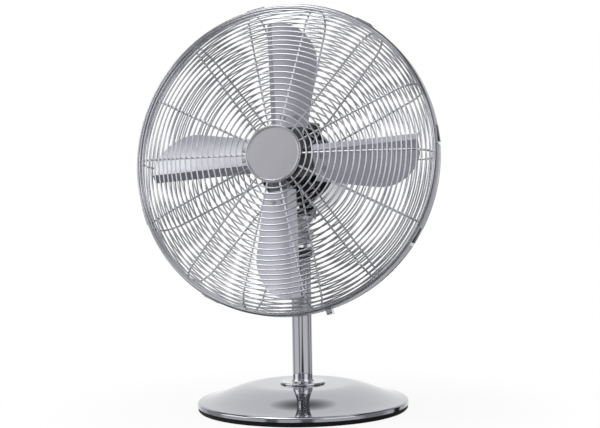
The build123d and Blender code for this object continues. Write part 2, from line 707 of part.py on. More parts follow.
with BuildPart() as clutch_knob:
    with BuildSketch(NECK.offset(HEAD_RISE + GEARCASE_TOP - CLUTCH_STEM_SINK)):
        with Locations((0, -(HEAD_REACH + clutch_s))):
            Circle(CLUTCH_STEM_R)
    extrude(amount=CLUTCH_STEM_SINK + HOUSING_R + CLUTCH_GAP - GEARCASE_TOP)
    with BuildSketch(NECK.offset(HEAD_RISE + HOUSING_R + CLUTCH_GAP)):
        with Locations((0, -(HEAD_REACH + clutch_s))):
            Circle(CLUTCH_KNOB_R)
    extrude(amount=CLUTCH_KNOB_H)
    fillet(clutch_knob.edges().filter_by(GeomType.CIRCLE).group_by(SWING_AXIS)[-1], CLUTCH_FILLET)
finish(clutch_knob.part, "clutch_knob")

# Speed switch inside the rear shell, with its knob outside
with BuildPart() as speed_switch:
    with BuildSketch(HEAD.offset(wall_inner_s)):
        with Locations((0, -SWITCH_DROP)):
            Rectangle(SWITCH_SIZE, SWITCH_SIZE)
    extrude(amount=SWITCH_H)
    with BuildSketch(HEAD.offset(wall_inner_s)):
        with Locations((0, -SWITCH_DROP)):
            Circle(SWITCH_NECK_R)
    extrude(amount=-HOUSING_WALL)
    with BuildSketch(HEAD.offset(housing_rear_s)):
        with Locations((0, -SWITCH_DROP)):
            Circle(SWITCH_SPINDLE_R + RUN_CLEAR)
    extrude(amount=SPINDLE_SINK + HOUSING_WALL, mode=Mode.SUBTRACT)
finish(speed_switch.part, "speed_switch")

knob_face_s = housing_rear_s - SPEED_KNOB_GAP
with BuildPart() as speed_knob:
    with BuildSketch(HEAD.offset(knob_face_s)):
        with Locations((0, -SWITCH_DROP)):
            Circle(SPEED_KNOB_R)
    extrude(amount=-(SPEED_KNOB_H - SPEED_GRIP_H))
    fillet(speed_knob.faces().sort_by(FAN_AXIS)[0].edges(), SPEED_FILLET)
    with BuildSketch(HEAD.offset(knob_face_s)):
        with Locations((0, -SWITCH_DROP)):
            SlotOverall(2 * SPEED_KNOB_R - SPEED_GRIP_WIDTH, SPEED_GRIP_WIDTH, rotation=90)
    extrude(amount=-SPEED_KNOB_H)
    with BuildSketch(HEAD.offset(knob_face_s)):
        with Locations((0, -SWITCH_DROP)):
            Circle(SWITCH_SPINDLE_R)
    extrude(amount=SPEED_KNOB_GAP + SPINDLE_SINK)
finish(speed_knob.part, "speed_knob")

with BuildPart() as cord_gland:
    with BuildSketch(HEAD.offset(housing_rear_s)):
        with Locations((GLAND_X, -GLAND_DROP)):
            Circle(GLAND_FLANGE_R)
    extrude(amount=-GLAND_FLANGE_H)
    with BuildSketch(HEAD.offset(housing_rear_s)):
        with Locations((GLAND_X, -GLAND_DROP)):
            Circle(GLAND_R)
    extrude(amount=GLAND_FLANGE_H)
    with BuildSketch(HEAD.offset(housing_rear_s - GLAND_FLANGE_H)):
        with Locations((GLAND_X, -GLAND_DROP)):
            Circle(GLAND_BORE_R)
    extrude(amount=2 * GLAND_FLANGE_H, mode=Mode.SUBTRACT)
finish(cord_gland.part, "cord_gland")

# Rear shell: a drum with a rounded back, open at the front, cut for what passes through it
corner_s = housing_rear_s + HOUSING_CORNER_R
inner_corner_r = HOUSING_CORNER_R - HOUSING_WALL
flat_r = HOUSING_R - HOUSING_CORNER_R
with BuildPart() as motor_housing:
    with BuildSketch(FRONT_HALF):
        with BuildLine():
            side = Line((HOUSING_R, housing_front_s), (HOUSING_R, corner_s))
            corner = TangentArc(side @ 1, (flat_r, housing_rear_s), tangent=(0, -1))
            back = Polyline(corner @ 1, (0, housing_rear_s), (0, wall_inner_s), (flat_r, wall_inner_s))
            inner = TangentArc(back @ 1, (HOUSING_R - HOUSING_WALL, corner_s), tangent=(1, 0))
            Polyline(inner @ 1, (HOUSING_R - HOUSING_WALL, housing_front_s), side @ 0)
        make_face()
    revolve(axis=FAN_AXIS)
    with BuildSketch(NECK):
        with Locations((0, post_back)):
            Rectangle(BRACKET_POST_X + 2 * BELL_WALL, BRACKET_POST_Y + 2 * BELL_WALL)
    extrude(amount=HEAD_RISE - MOTOR_R / 2, mode=Mode.SUBTRACT)
    with BuildSketch(NECK.offset(HEAD_RISE)):
        with Locations((0, -(HEAD_REACH + clutch_s))):
            Circle(CLUTCH_STEM_R + HOLE_CLEAR)
    extrude(amount=2 * HOUSING_R, mode=Mode.SUBTRACT)
    with BuildSketch(HEAD.offset(housing_rear_s)):
        with Locations((0, -SWITCH_DROP)):
            Circle(SWITCH_NECK_R + RUN_CLEAR)
        with Locations((GLAND_X, -GLAND_DROP)):
            Circle(GLAND_R + RUN_CLEAR)
        with Locations((0, POST_RISE)):
            with GridLocations(POST_SPACING, 0, 2, 1):
                Circle(HOUSING_SCREW_R + RUN_CLEAR)
    extrude(amount=HOUSING_WALL, mode=Mode.SUBTRACT)
finish(motor_housing.part, "motor_housing")

with BuildPart() as housing_screws:
    with BuildSketch(HEAD.offset(housing_rear_s)):
        with Locations((0, POST_RISE)):
            with GridLocations(POST_SPACING, 0, 2, 1):
                Circle(HOUSING_SCREW_HEAD_R)
    extrude(amount=-HOUSING_SCREW_HEAD_H)
    with BuildSketch(HEAD.offset(housing_rear_s)):
        with Locations((0, POST_RISE)):
            with GridLocations(POST_SPACING, 0, 2, 1):
                Circle(HOUSING_SCREW_R)
    extrude(amount=HOUSING_WALL + HOUSING_SCREW_REACH)
finish(housing_screws.part, "housing_screws")

# Blades: four cambered sheets riveted to the arms of the hub
camber_x = CAMBER_MID_X + CAMBER_R * sin(radians(BLADE_PITCH))
camber_s = CAMBER_MID_S + CAMBER_R * cos(radians(BLADE_PITCH))
LIP_DIR = Vector(-cos(radians(LIP_ANGLE)), -sin(radians(LIP_ANGLE)))


def sheet_height(x, radius):
    """Place along the fan axis of a point on a camber circle."""
    return camber_s - sqrt(radius**2 - (x - camber_x) ** 2)


def blade_plane(index):
    """Plane across the fan axis with Y along one blade's straight edge."""
    return turned_head(BLADE_SWEEP + 360 / BLADE_COUNT * index)


def section_plane(frame):
    """Plane across a blade, with Y along the fan axis."""
    return Plane(origin=frame.origin, x_dir=frame.x_dir, z_dir=-frame.y_dir)


def rivet_plane(frame, side):
    """Plane on a blade's front face at one rivet, facing back through the arm."""
    x = ARM_X + side * RIVET_SPACING / 2
    s = sheet_height(x, CAMBER_R)
    normal = Vector(x - camber_x, 0, s - camber_s).normalized()
    return Plane(
        origin=frame.from_local_coords(Vector(x, RIVET_Y, s)),
        z_dir=frame.x_dir * normal.X + frame.z_dir * normal.Z,
    )


lip_length = (CREASE_X - EDGE_X) / cos(radians(LIP_ANGLE))
crease = Vector(CREASE_X, sheet_height(CREASE_X, CAMBER_R))
lip_end = crease + LIP_DIR * lip_length
lip_skin = Vector(-LIP_DIR.Y, LIP_DIR.X) * BLADE_T
for index in range(BLADE_COUNT):
    frame = blade_plane(index)
    with BuildPart() as blade:
        with BuildSketch(section_plane(frame)):
            with Locations((camber_x, camber_s)):
                Circle(CAMBER_R + BLADE_T)
                Circle(CAMBER_R, mode=Mode.SUBTRACT)
            with Locations((CREASE_X, 0)):
                Rectangle(TIP_R, CAMBER_R / 2, align=(Align.MIN, Align.CENTER), mode=Mode.INTERSECT)
            with BuildLine():
                Polyline(crease, lip_end, lip_end + lip_skin, crease + lip_skin, close=True)
            make_face()
        extrude(amount=-TIP_R)
        with BuildSketch(frame):
            with BuildLine():
                lead = Line((LEAD_ROOT_X, ROOT_Y), (LEAD_MAX_X, LEAD_MAX_Y))
                tip = TangentArc(lead @ 1, (TIP_LEAD_X, TIP_R), tangent=lead % 1)
                Polyline(tip @ 1, (EDGE_X, TIP_R), (EDGE_X, ROOT_Y), lead @ 0)
            make_face()
            Circle(TIP_R, mode=Mode.INTERSECT)
        extrude(amount=CAMBER_R / 4, both=True, mode=Mode.INTERSECT)
        for side in (-1, 1):
            with BuildSketch(rivet_plane(frame, side)):
                Circle(RIVET_R + PRESS_CLEAR)
            extrude(amount=2 * BLADE_T, both=True, mode=Mode.SUBTRACT)
    finish(blade.part, f"blade_{index + 1}")

arm_back = BLADE_T + ARM_GAP + ARM_T
with BuildPart() as blade_hub:
    for index in range(BLADE_COUNT):
        frame = blade_plane(index)
        with BuildSketch(frame, mode=Mode.PRIVATE) as arm_shape:
            with Locations((ARM_X, 0)):
                Rectangle(ARM_WIDTH, ARM_TIP_Y - ARM_WIDTH / 2, align=(Align.CENTER, Align.MIN))
            with Locations((ARM_X, ARM_TIP_Y - ARM_WIDTH / 2)):
                Circle(ARM_WIDTH / 2)
        with BuildSketch(section_plane(frame), mode=Mode.PRIVATE) as arm_section:
            with Locations((camber_x, camber_s)):
                Circle(CAMBER_R + BLADE_T + ARM_GAP + ARM_T)
                Circle(CAMBER_R + BLADE_T + ARM_GAP, mode=Mode.SUBTRACT)
        arm = extrude(arm_section.sketch, amount=-ARM_TIP_Y, mode=Mode.PRIVATE)
        arm = arm & extrude(arm_shape.sketch, amount=CAMBER_R / 4, both=True, mode=Mode.PRIVATE)
        add(arm)
    with BuildSketch(HEAD.offset(HUB_FRONT)):
        Circle(HUB_R)
    extrude(amount=-HUB_LENGTH)
    with BuildSketch(HEAD.offset(HUB_FRONT)):
        Circle(SHAFT_R + PRESS_CLEAR)
    extrude(amount=-HUB_LENGTH, mode=Mode.SUBTRACT)
    for index in range(BLADE_COUNT):
        for side in (-1, 1):
            with BuildSketch(rivet_plane(blade_plane(index), side)):
                Circle(RIVET_R + PRESS_CLEAR)
            extrude(amount=2 * arm_back, both=True, mode=Mode.SUBTRACT)
finish(blade_hub.part, "blade_hub")

with BuildPart() as blade_rivets:
    for index in range(BLADE_COUNT):
        for side in (-1, 1):
            seat = rivet_plane(blade_plane(index), side)
            with BuildSketch(seat.offset(-RIVET_SEAT)):
                Circle(RIVET_R)
            extrude(amount=RIVET_SEAT + arm_back)
            with BuildSketch(seat.offset(-RIVET_SEAT)):
                Circle(RIVET_HEAD_R)
            extrude(amount=-RIVET_HEAD_H)
            with BuildSketch(seat.offset(arm_back)):
                Circle(RIVET_HEAD_R)
            extrude(amount=RIVET_HEAD_H)
finish(blade_rivets.part, "blade_rivets")

# Guards: ring wires resting on spokes that run from the middle to a heavier rim wire
rim_r = BAND_R - BAND_T - RIM_WIRE_R - WELD_GAP
spoke_rim_r = rim_r - RIM_WIRE_R - SPOKE_WIRE_R + WELD_DEPTH
ring_lift = SPOKE_WIRE_R + RING_WIRE_R + WELD_GAP


def spoke_line(depth):
    """A spoke's centre line in the half section: a crowned face and a rounded shoulder."""
    with BuildLine() as line:
        face = TangentArc((SPOKE_START_R, depth), (SHOULDER_R, depth - FACE_DROP), tangent=(1, 0))
        TangentArc(face @ 1, (spoke_rim_r, RIM_SPACING / 2), tangent=face % 1)
    return line.wire()


def ring_places(depth):
    """Centres of the ring wires in the half section: those on the face, then those on the shoulder."""
    line = spoke_line(depth)
    face_length = line.edges()[0].length
    reach = FIRST_RING_R - SPOKE_START_R
    lengths = [reach + INNER_PITCH * step for step in range(INNER_RINGS)]
    while lengths[-1] + 2 * OUTER_PITCH < line.length:
        lengths.append(lengths[-1] + OUTER_PITCH)
    face, shoulder = [], []
    for length in lengths:
        share = length / line.length
        along = line % share
        place = line @ share + Vector(-along.Y, along.X) * ring_lift
        (face if length < face_length else shoulder).append(place)
    return face, shoulder


def guard_spoke(plane, depth):
    """One spoke, swept along its line."""
    line = spoke_line(depth).moved(plane.location)
    with BuildPart() as spoke:
        with BuildSketch(Plane(line @ 0, z_dir=line % 0)):
            Circle(SPOKE_WIRE_R)
        sweep(path=line)
    return spoke.part


spoke_angles = [SPOKE_ANGLE + 360 / SPOKE_COUNT * step for step in range(SPOKE_COUNT)]


def ring_wires(plane, places):
    """Ring wires, drawn with a few sides and kept apart."""
    rings = []
    for place in places:
        with BuildSketch(plane) as section:
            with Locations((place.X, place.Y)):
                RegularPolygon(RING_WIRE_R, WIRE_SIDES)
        with BuildPart() as ring:
            revolve(section.sketch, axis=FAN_AXIS)
        rings.append(ring.part.solid())
    return Compound(rings)


def guard_frame(plane, depth):
    """Spokes welded to the rim wire."""
    spoke = guard_spoke(plane, depth)
    with BuildPart() as spokes:
        with BuildSketch(plane):
            with Locations((rim_r, RIM_SPACING / 2)):
                Circle(RIM_WIRE_R)
        revolve(axis=FAN_AXIS)
        add([spoke.rotate(FAN_AXIS, angle) for angle in spoke_angles])
    return spokes.part


for guard, plane, depth in (("front", FRONT_HALF, FRONT_DEPTH), ("rear", REAR_HALF, REAR_DEPTH)):
    face, shoulder = ring_places(depth)
    finish(ring_wires(plane, face), f"{guard}_rings")
    finish(ring_wires(plane, shoulder), f"{guard}_shoulder_rings")

finish(guard_frame(FRONT_HALF, FRONT_DEPTH), "front_guard")

with BuildPart() as rear_guard:
    add(guard_frame(REAR_HALF, REAR_DEPTH))
    revolve(band(FRONT_HALF, GUARD_BOSS_R + SEAT_CLEAR, REAR_DISC_R, pad_s, front_disc_s), axis=FAN_AXIS)
finish(rear_guard.part, "rear_guard")

with BuildPart() as guard_nut:
    with BuildSketch(HEAD.offset(front_disc_s)):
        Circle(GUARD_NUT_R)
        Circle(GUARD_BOSS_R + RUN_CLEAR, mode=Mode.SUBTRACT)
        with PolarLocations(GUARD_NUT_R + GUARD_NUT_FLUTE_OUT, GUARD_NUT_FLUTES):
            Circle(GUARD_NUT_FLUTE_R, mode=Mode.SUBTRACT)
    extrude(amount=GUARD_NUT_H)
finish(guard_nut.part, "guard_nut")

with BuildPart() as guard_ring:
    revolve(band(FRONT_HALF, BAND_R - BAND_T, BAND_R, -BAND_WIDTH / 2, BAND_WIDTH / 2), axis=FAN_AXIS)
finish(guard_ring.part, "guard_ring")

# Spring clips: a strip along the band, hooked over both edges, with its end sprung up
clip_turn = degrees(CLIP_LENGTH / BAND_R)
clip_low_r = BAND_R + WELD_GAP
clip_edge_s = BAND_WIDTH / 2 + WELD_GAP
with BuildPart() as clip:
    revolve(outline(
        FRONT_HALF,
        (BAND_R - BAND_T, -clip_edge_s - CLIP_T),
        (clip_low_r + CLIP_T, -clip_edge_s - CLIP_T),
        (clip_low_r + CLIP_T, clip_edge_s + CLIP_T),
        (BAND_R - BAND_T, clip_edge_s + CLIP_T),
        (BAND_R - BAND_T, clip_edge_s),
        (clip_low_r, clip_edge_s),
        (clip_low_r, -clip_edge_s),
        (BAND_R - BAND_T, -clip_edge_s),
    ), axis=FAN_AXIS, revolution_arc=clip_turn)
    extrude(outline(
        turned_head(clip_turn / 2),
        (clip_low_r, CLIP_LENGTH / 2),
        (clip_low_r + CLIP_T, CLIP_LENGTH / 2),
        (clip_low_r + CLIP_T + CLIP_LIFT, -CLIP_LEVER_REACH),
        (clip_low_r + CLIP_LIFT, -CLIP_LEVER_REACH),
    ), amount=CLIP_LEVER_WIDTH / 2, both=True)
with BuildPart() as ring_clips:
    for angle in CLIP_ANGLES:
        add(clip.part.rotate(FAN_AXIS, angle - clip_turn / 2))
finish(ring_clips.part, "ring_clips")

lock_frame = turned_head(LOCK_ANGLE)
lock_r = clip_low_r + LOCK_SIZE / 2
with BuildPart() as ring_lock:
    with BuildSketch(lock_frame):
        with Locations((lock_r, 0)):
            Rectangle(LOCK_SIZE, LOCK_SIZE)
        Circle(clip_low_r, mode=Mode.SUBTRACT)
        with Locations((lock_r, 0)):
            Circle(LOCK_SCREW_R + RUN_CLEAR, mode=Mode.SUBTRACT)
    extrude(amount=LOCK_WIDTH / 2, both=True)
finish(ring_lock.part, "ring_lock")

with BuildPart() as lock_screw:
    with BuildSketch(lock_frame.offset(-LOCK_WIDTH / 2)):
        with Locations((lock_r, 0)):
            Circle(LOCK_SCREW_R)
    extrude(amount=LOCK_WIDTH)
    with BuildSketch(lock_frame.offset(LOCK_WIDTH / 2)):
        with Locations((lock_r, 0)):
            Circle(LOCK_SCREW_HEAD_R)
    extrude(amount=LOCK_SCREW_HEAD_H)
finish(lock_screw.part, "lock_screw")

# Middle of the front guard: a clamping disc behind the spokes, badge and bezel in front
badge_low_s = FRONT_DEPTH + SPOKE_WIRE_R + WELD_GAP
badge_top_s = badge_low_s + BADGE_H
clamp_s = FRONT_DEPTH - SPOKE_WIRE_R - CLAMP_GAP
face_r = BADGE_R - BEZEL_WIDTH
with BuildPart() as clamp_disc:
    revolve(band(FRONT_HALF, 0, CLAMP_DISC_R, clamp_s - CLAMP_DISC_T, clamp_s), axis=FAN_AXIS)
    with BuildSketch(HEAD.offset(clamp_s)):
        with GridLocations(BADGE_SCREW_SPACING, 0, 2, 1):
            Circle(BADGE_SCREW_R + RUN_CLEAR)
    extrude(amount=-CLAMP_DISC_T, mode=Mode.SUBTRACT)
finish(clamp_disc.part, "clamp_disc")

with BuildPart() as badge:
    revolve(band(FRONT_HALF, 0, face_r - RUN_CLEAR, badge_low_s, badge_top_s - BADGE_RECESS), axis=FAN_AXIS)
    with BuildSketch(HEAD.offset(badge_low_s)):
        with GridLocations(BADGE_SCREW_SPACING, 0, 2, 1):
            Circle(BADGE_SCREW_R + RUN_CLEAR)
    extrude(amount=BADGE_SCREW_REACH + RUN_CLEAR, mode=Mode.SUBTRACT)
finish(badge.part, "badge")

with BuildPart() as badge_bezel:
    revolve(band(FRONT_HALF, face_r, BADGE_R, badge_low_s, badge_top_s), axis=FAN_AXIS)
    fillet(badge_bezel.edges().group_by(FAN_AXIS)[-1], BEZEL_FILLET)
finish(badge_bezel.part, "badge_bezel")

with BuildPart() as badge_screws:
    with BuildSketch(HEAD.offset(clamp_s - CLAMP_DISC_T)):
        with GridLocations(BADGE_SCREW_SPACING, 0, 2, 1):
            Circle(BADGE_SCREW_R)
    extrude(amount=badge_low_s + BADGE_SCREW_REACH - clamp_s + CLAMP_DISC_T)
    with BuildSketch(HEAD.offset(clamp_s - CLAMP_DISC_T)):
        with GridLocations(BADGE_SCREW_SPACING, 0, 2, 1):
            Circle(BADGE_SCREW_HEAD_R)
    extrude(amount=-BADGE_SCREW_HEAD_H)
finish(badge_screws.part, "badge_screws")
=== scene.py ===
import json
from math import asin, atan2, cos, pi, radians, sin, sqrt

import bmesh
import bpy
from mathutils import Matrix, Vector


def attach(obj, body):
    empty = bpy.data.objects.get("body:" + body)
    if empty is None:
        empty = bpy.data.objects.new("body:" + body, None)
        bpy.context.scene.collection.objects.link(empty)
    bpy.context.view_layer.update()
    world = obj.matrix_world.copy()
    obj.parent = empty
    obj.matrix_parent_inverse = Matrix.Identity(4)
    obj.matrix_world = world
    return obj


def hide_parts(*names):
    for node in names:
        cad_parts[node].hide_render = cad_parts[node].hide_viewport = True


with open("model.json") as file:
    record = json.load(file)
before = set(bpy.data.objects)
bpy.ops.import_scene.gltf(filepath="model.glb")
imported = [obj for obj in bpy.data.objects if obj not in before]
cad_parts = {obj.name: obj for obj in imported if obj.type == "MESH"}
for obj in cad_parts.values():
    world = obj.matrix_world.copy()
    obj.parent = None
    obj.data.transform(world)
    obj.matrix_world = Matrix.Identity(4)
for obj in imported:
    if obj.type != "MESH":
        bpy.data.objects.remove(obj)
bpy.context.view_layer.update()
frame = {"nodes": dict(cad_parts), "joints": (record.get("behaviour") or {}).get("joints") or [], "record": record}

joints = {joint["name"]: joint for joint in frame["joints"]}

# Frame of the head, taken from the joints
ring_centre = Vector(joints["blade_spin"]["pos_m"])
forward = -Vector(joints["blade_spin"]["axis"]).normalized()
head_up = Vector(joints["swing"]["axis"]).normalized()
head_side = Vector((1, 0, 0))
head_tilt = asin(forward.z)


def frame_matrix(origin, x_axis, y_axis, z_axis):
    """Matrix from a local frame to the part's frame."""
    turn = Matrix((x_axis, y_axis, z_axis)).transposed().to_4x4()
    return Matrix.Translation(origin) @ turn


HEAD = frame_matrix(ring_centre, head_side, head_up, forward)
HEAD_BACK = HEAD @ Matrix.Rotation(pi, 4, "X")
STAND = Matrix.Identity(4)
MM = 0.001

# Sizes in millimetres that several pieces share, as in the solids
BASE_R = 152.5
FOOT_H = 7.0
POLE_R = 14.5
BAND_R = 220.0
BAND_T = 1.2
BAND_WIDTH = 18.0
FRONT_DEPTH = 44.0
REAR_DEPTH = 49.5
SPOKE_WIRE_R = 1.4
WELD_GAP = 0.05

# How finely round forms are divided
FINE_STEPS = 240
TURN_STEPS = 160
POLE_STEPS = 96
CORNER_STEPS = 4
BEVEL_STEPS = 2

# Bends past which an edge looks sharp or is rounded over, and under which two faces are one flat
SHARP_ANGLE = radians(32)
WIRE_SHARP_ANGLE = radians(50)
BEVEL_ANGLE = radians(40)
FLAT_ANGLE = radians(0.6)

# Round on sharp edges in millimetres
EDGE_ROUND = 0.3


# Nodes

def add_node(tree, kind, **values):
    """A node with its properties and its unlinked inputs set."""
    node = tree.nodes.new(kind)
    for key, value in values.items():
        if hasattr(node, key):
            setattr(node, key, value)
        else:
            node.inputs[key.replace("_", " ")].default_value = value
    return node


def math_node(tree, operation, *values):
    """A Math node on sockets or numbers."""
    node = add_node(tree, "ShaderNodeMath", operation=operation)
    for socket, value in zip(node.inputs, values):
        if isinstance(value, (int, float)):
            socket.default_value = value
        else:
            tree.links.new(value, socket)
    return node.outputs["Value"]


def mapped(tree, value, span, result=(0.0, 1.0), **kind):
    """A value taken from one span to another and held at its ends."""
    node = add_node(tree, "ShaderNodeMapRange", **kind)
    for name, number in zip(("From Min", "From Max", "To Min", "To Max"), (*span, *result)):
        node.inputs[name].default_value = number
    tree.links.new(value, node.inputs["Value"])
    return node.outputs["Result"]


# Materials

METAL = 1.0
RAW_IRON = 0.6
PLAIN = 0.0
NOISE_SPAN = (0.3, 0.7)
RELIEF_HEIGHT = 0.0004
WHITE = (1, 1, 1, 1)

# Turn and stretch of the grain: drawn out across the front-to-back way on round pieces, along it on blades
ROUND_GRAIN = ((head_tilt, 0, 0), (0.02, 1, 0.02))
BLADE_GRAIN = ((head_tilt, 0, 0), (1, 0.1, 1))


def finish_material(name, colour, metallic, gloss, grain, cloud, streak=None, specular=None):
    """A surface with cloudy colour, uneven gloss and fine relief, all read from Object coordinates.

    gloss is the roughness and its spread, grain the fineness and strength of the relief, cloud the spread
    of the colour and the fineness of its patches, and streak the turn and stretch of the grain.
    """
    roughness, spread = gloss
    fineness, strength = grain
    shade, patches = cloud
    material = bpy.data.materials.new(name)
    material.use_nodes = True
    tree = material.node_tree
    link = tree.links.new
    shader = tree.nodes["Principled BSDF"]
    place = add_node(tree, "ShaderNodeTexCoord").outputs["Object"]
    stretch = add_node(tree, "ShaderNodeMapping")
    if streak is not None:
        stretch.inputs["Rotation"].default_value = streak[0]
        stretch.inputs["Scale"].default_value = streak[1]
    link(place, stretch.inputs["Vector"])

    clouds = add_node(tree, "ShaderNodeTexNoise", Scale=patches, Detail=3.0, Roughness=0.55)
    link(place, clouds.inputs["Vector"])
    ramp = add_node(tree, "ShaderNodeValToRGB")
    for stop, position, change in zip(ramp.color_ramp.elements, NOISE_SPAN, (1 - shade, 1 + shade)):
        stop.position = position
        stop.color = [min(1.0, c * change) for c in colour] + [1]
    link(clouds.outputs["Fac"], ramp.inputs["Fac"])
    link(ramp.outputs["Color"], shader.inputs["Base Color"])

    fine = add_node(tree, "ShaderNodeTexNoise", Scale=fineness, Detail=2.0, Roughness=0.5)
    link(stretch.outputs["Vector"], fine.inputs["Vector"])
    uneven = (max(0.0, roughness - spread), roughness + spread)
    link(mapped(tree, fine.outputs["Fac"], NOISE_SPAN, uneven), shader.inputs["Roughness"])
    relief = add_node(tree, "ShaderNodeBump", Strength=strength, Distance=RELIEF_HEIGHT)
    link(fine.outputs["Fac"], relief.inputs["Height"])
    link(relief.outputs["Normal"], shader.inputs["Normal"])
    shader.inputs["Metallic"].default_value = metallic
    if specular is not None:
        shader.inputs["Specular IOR Level"].default_value = specular
    return material


MATERIALS = {
    "chrome": finish_material("polished_chrome", (0.60, 0.605, 0.63), METAL,
                              gloss=(0.04, 0.015), grain=(350, 0.003), cloud=(0.02, 9)),
    "base_chrome": finish_material("base_chrome", (0.43, 0.435, 0.465), METAL,
                                   gloss=(0.03, 0.01), grain=(350, 0.002), cloud=(0.015, 9)),
    # Neck chrome: a rougher chrome, painted lighter than the polished chrome to offset the shade on the neck
    "neck_chrome_painted_light": finish_material("neck_chrome_painted_light", (0.88, 0.88, 0.90), METAL,
                                   gloss=(0.32, 0.05), grain=(600, 0.006), cloud=(0.03, 20)),
    # Clip levers: chrome parts painted nearly black, a painted dark reflection
    "painted_dark_reflection": finish_material("painted_dark_reflection", (0.008, 0.008, 0.009), PLAIN,
                                   gloss=(0.3, 0.05), grain=(900, 0.01), cloud=(0.1, 60), specular=0.15),
    "wire": finish_material("plated_wire", (0.64, 0.645, 0.67), METAL,
                            gloss=(0.09, 0.03), grain=(700, 0.01), cloud=(0.05, 14)),
    "satin_band": finish_material("satin_band", (0.36, 0.365, 0.40), METAL, gloss=(0.34, 0.06),
                                  grain=(2600, 0.03), cloud=(0.04, 11), streak=ROUND_GRAIN),
    "blade_metal": finish_material("blade_sheet", (0.55, 0.555, 0.605), METAL, gloss=(0.42, 0.07),
                                   grain=(1400, 0.03), cloud=(0.05, 12), streak=BLADE_GRAIN),
    "badge_face": finish_material("badge_satin", (0.61, 0.61, 0.63), METAL,
                                  gloss=(0.45, 0.05), grain=(2400, 0.03), cloud=(0.02, 25)),
    "bezel": finish_material("bezel_satin", (0.60, 0.60, 0.615), METAL,
                             gloss=(0.26, 0.04), grain=(1800, 0.01), cloud=(0.02, 25)),
    "hub_metal": finish_material("cast_hub", (0.42, 0.42, 0.43), METAL,
                                 gloss=(0.45, 0.08), grain=(900, 0.05), cloud=(0.06, 40)),
    "dark_cast": finish_material("dark_cast", (0.13, 0.13, 0.135), METAL,
                                 gloss=(0.36, 0.06), grain=(900, 0.04), cloud=(0.1, 40)),
    "black_plastic": finish_material("moulded_black", (0.028, 0.028, 0.03), PLAIN,
                                     gloss=(0.46, 0.06), grain=(1500, 0.08), cloud=(0.15, 40)),
    "black_paint": finish_material("black_paint", (0.022, 0.021, 0.025), PLAIN,
                                   gloss=(0.38, 0.07), grain=(800, 0.05), cloud=(0.2, 50)),
    "foot_rubber": finish_material("foot_rubber", (0.008, 0.008, 0.009), PLAIN,
                                   gloss=(0.62, 0.06), grain=(1800, 0.1), cloud=(0.25, 60), specular=0.15),
    "iron": finish_material("cast_iron", (0.10, 0.10, 0.10), RAW_IRON,
                            gloss=(0.7, 0.1), grain=(500, 0.3), cloud=(0.25, 40)),
    "bottom_sheet": finish_material("bottom_sheet", (0.05, 0.05, 0.054), PLAIN,
                                    gloss=(0.5, 0.08), grain=(700, 0.06), cloud=(0.15, 30)),
    "zinc": finish_material("zinc_plate", (0.58, 0.58, 0.60), METAL,
                            gloss=(0.34, 0.08), grain=(900, 0.04), cloud=(0.1, 90)),
    "core_steel": finish_material("stacked_steel", (0.32, 0.32, 0.33), METAL, gloss=(0.45, 0.08),
                                  grain=(3000, 0.1), cloud=(0.1, 60), streak=ROUND_GRAIN),
    "copper": finish_material("varnished_copper", (0.55, 0.24, 0.11), METAL,
                              gloss=(0.35, 0.1), grain=(1200, 0.2), cloud=(0.2, 120)),
    "bronze": finish_material("oiled_bronze", (0.50, 0.33, 0.15), METAL,
                              gloss=(0.4, 0.08), grain=(900, 0.05), cloud=(0.15, 120)),
}


# Pieces

dressed_nodes = set()


def place_piece(name, mesh, slot, body, *nodes, finish=None):
    """A finished piece that rides on a body and stands for its CAD nodes."""
    piece = bpy.data.objects.new(name, mesh)
    bpy.context.scene.collection.objects.link(piece)
    mesh.materials.clear()
    mesh.materials.append(MATERIALS[finish or slot])
    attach(piece, body)
    if nodes:
        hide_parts(*nodes)
    dressed_nodes.update(nodes)
    return piece


def soften(mesh, angle=SHARP_ANGLE):
    """Smooth shading that keeps the real corners sharp."""
    mesh.shade_smooth()
    mesh.set_sharp_from_angle(angle=angle)


def mesh_of(name, shape):
    """The mesh of a finished shape, which is then set free."""
    mesh = bpy.data.meshes.new(name)
    shape.to_mesh(mesh)
    shape.free()
    return mesh


# Curves in a half section, and turned pieces made from them

ON_AXIS = 1e-6
STRAIGHT = 1e-9
CORNER_SHARE = 0.45


def tangent_arc(start, direction, end, steps):
    """Points of the arc that leaves start along direction and reaches end."""
    chord = end - start
    normal = Vector((-direction.y, direction.x))
    bulge = chord.dot(normal)
    if abs(bulge) < STRAIGHT:
        return [start + chord * k / steps for k in range(steps + 1)]
    radius = chord.length_squared / (2 * bulge)
    centre = start + normal * radius
    first = start - centre
    last = end - centre
    turn = atan2(first.x * last.y - first.y * last.x, first.dot(last))
    points = []
    for k in range(steps + 1):
        angle = turn * k / steps
        points.append(centre + Vector((first.x * cos(angle) - first.y * sin(angle),
                                       first.x * sin(angle) + first.y * cos(angle))))
    return points


def bent(start, start_way, end, end_way, steps):
    """A curve from start to end that leaves and arrives along the given ways."""
    reach = (Vector(end) - Vector(start)).length
    leave = Vector(start_way).normalized() * reach
    arrive = Vector(end_way).normalized() * reach
    points = []
    for k in range(steps + 1):
        t = k / steps
        points.append(Vector(start) * (2 * t**3 - 3 * t**2 + 1) + leave * (t**3 - 2 * t**2 + t)
                      + Vector(end) * (3 * t**2 - 2 * t**3) + arrive * (t**3 - t**2))
    return points


def through(start, start_way, middle, end, end_way, steps):
    """A curve through three points with an even bend at the middle one."""
    first = Vector(middle) - Vector(start)
    second = Vector(end) - Vector(middle)
    near = first.length
    far = second.length
    way = (3 * (first * far / near + second * near / far) - Vector(start_way).normalized() * far
           - Vector(end_way).normalized() * near) / (2 * (near + far))
    return bent(start, start_way, middle, way, steps) + bent(middle, way, end, end_way, steps)[1:]


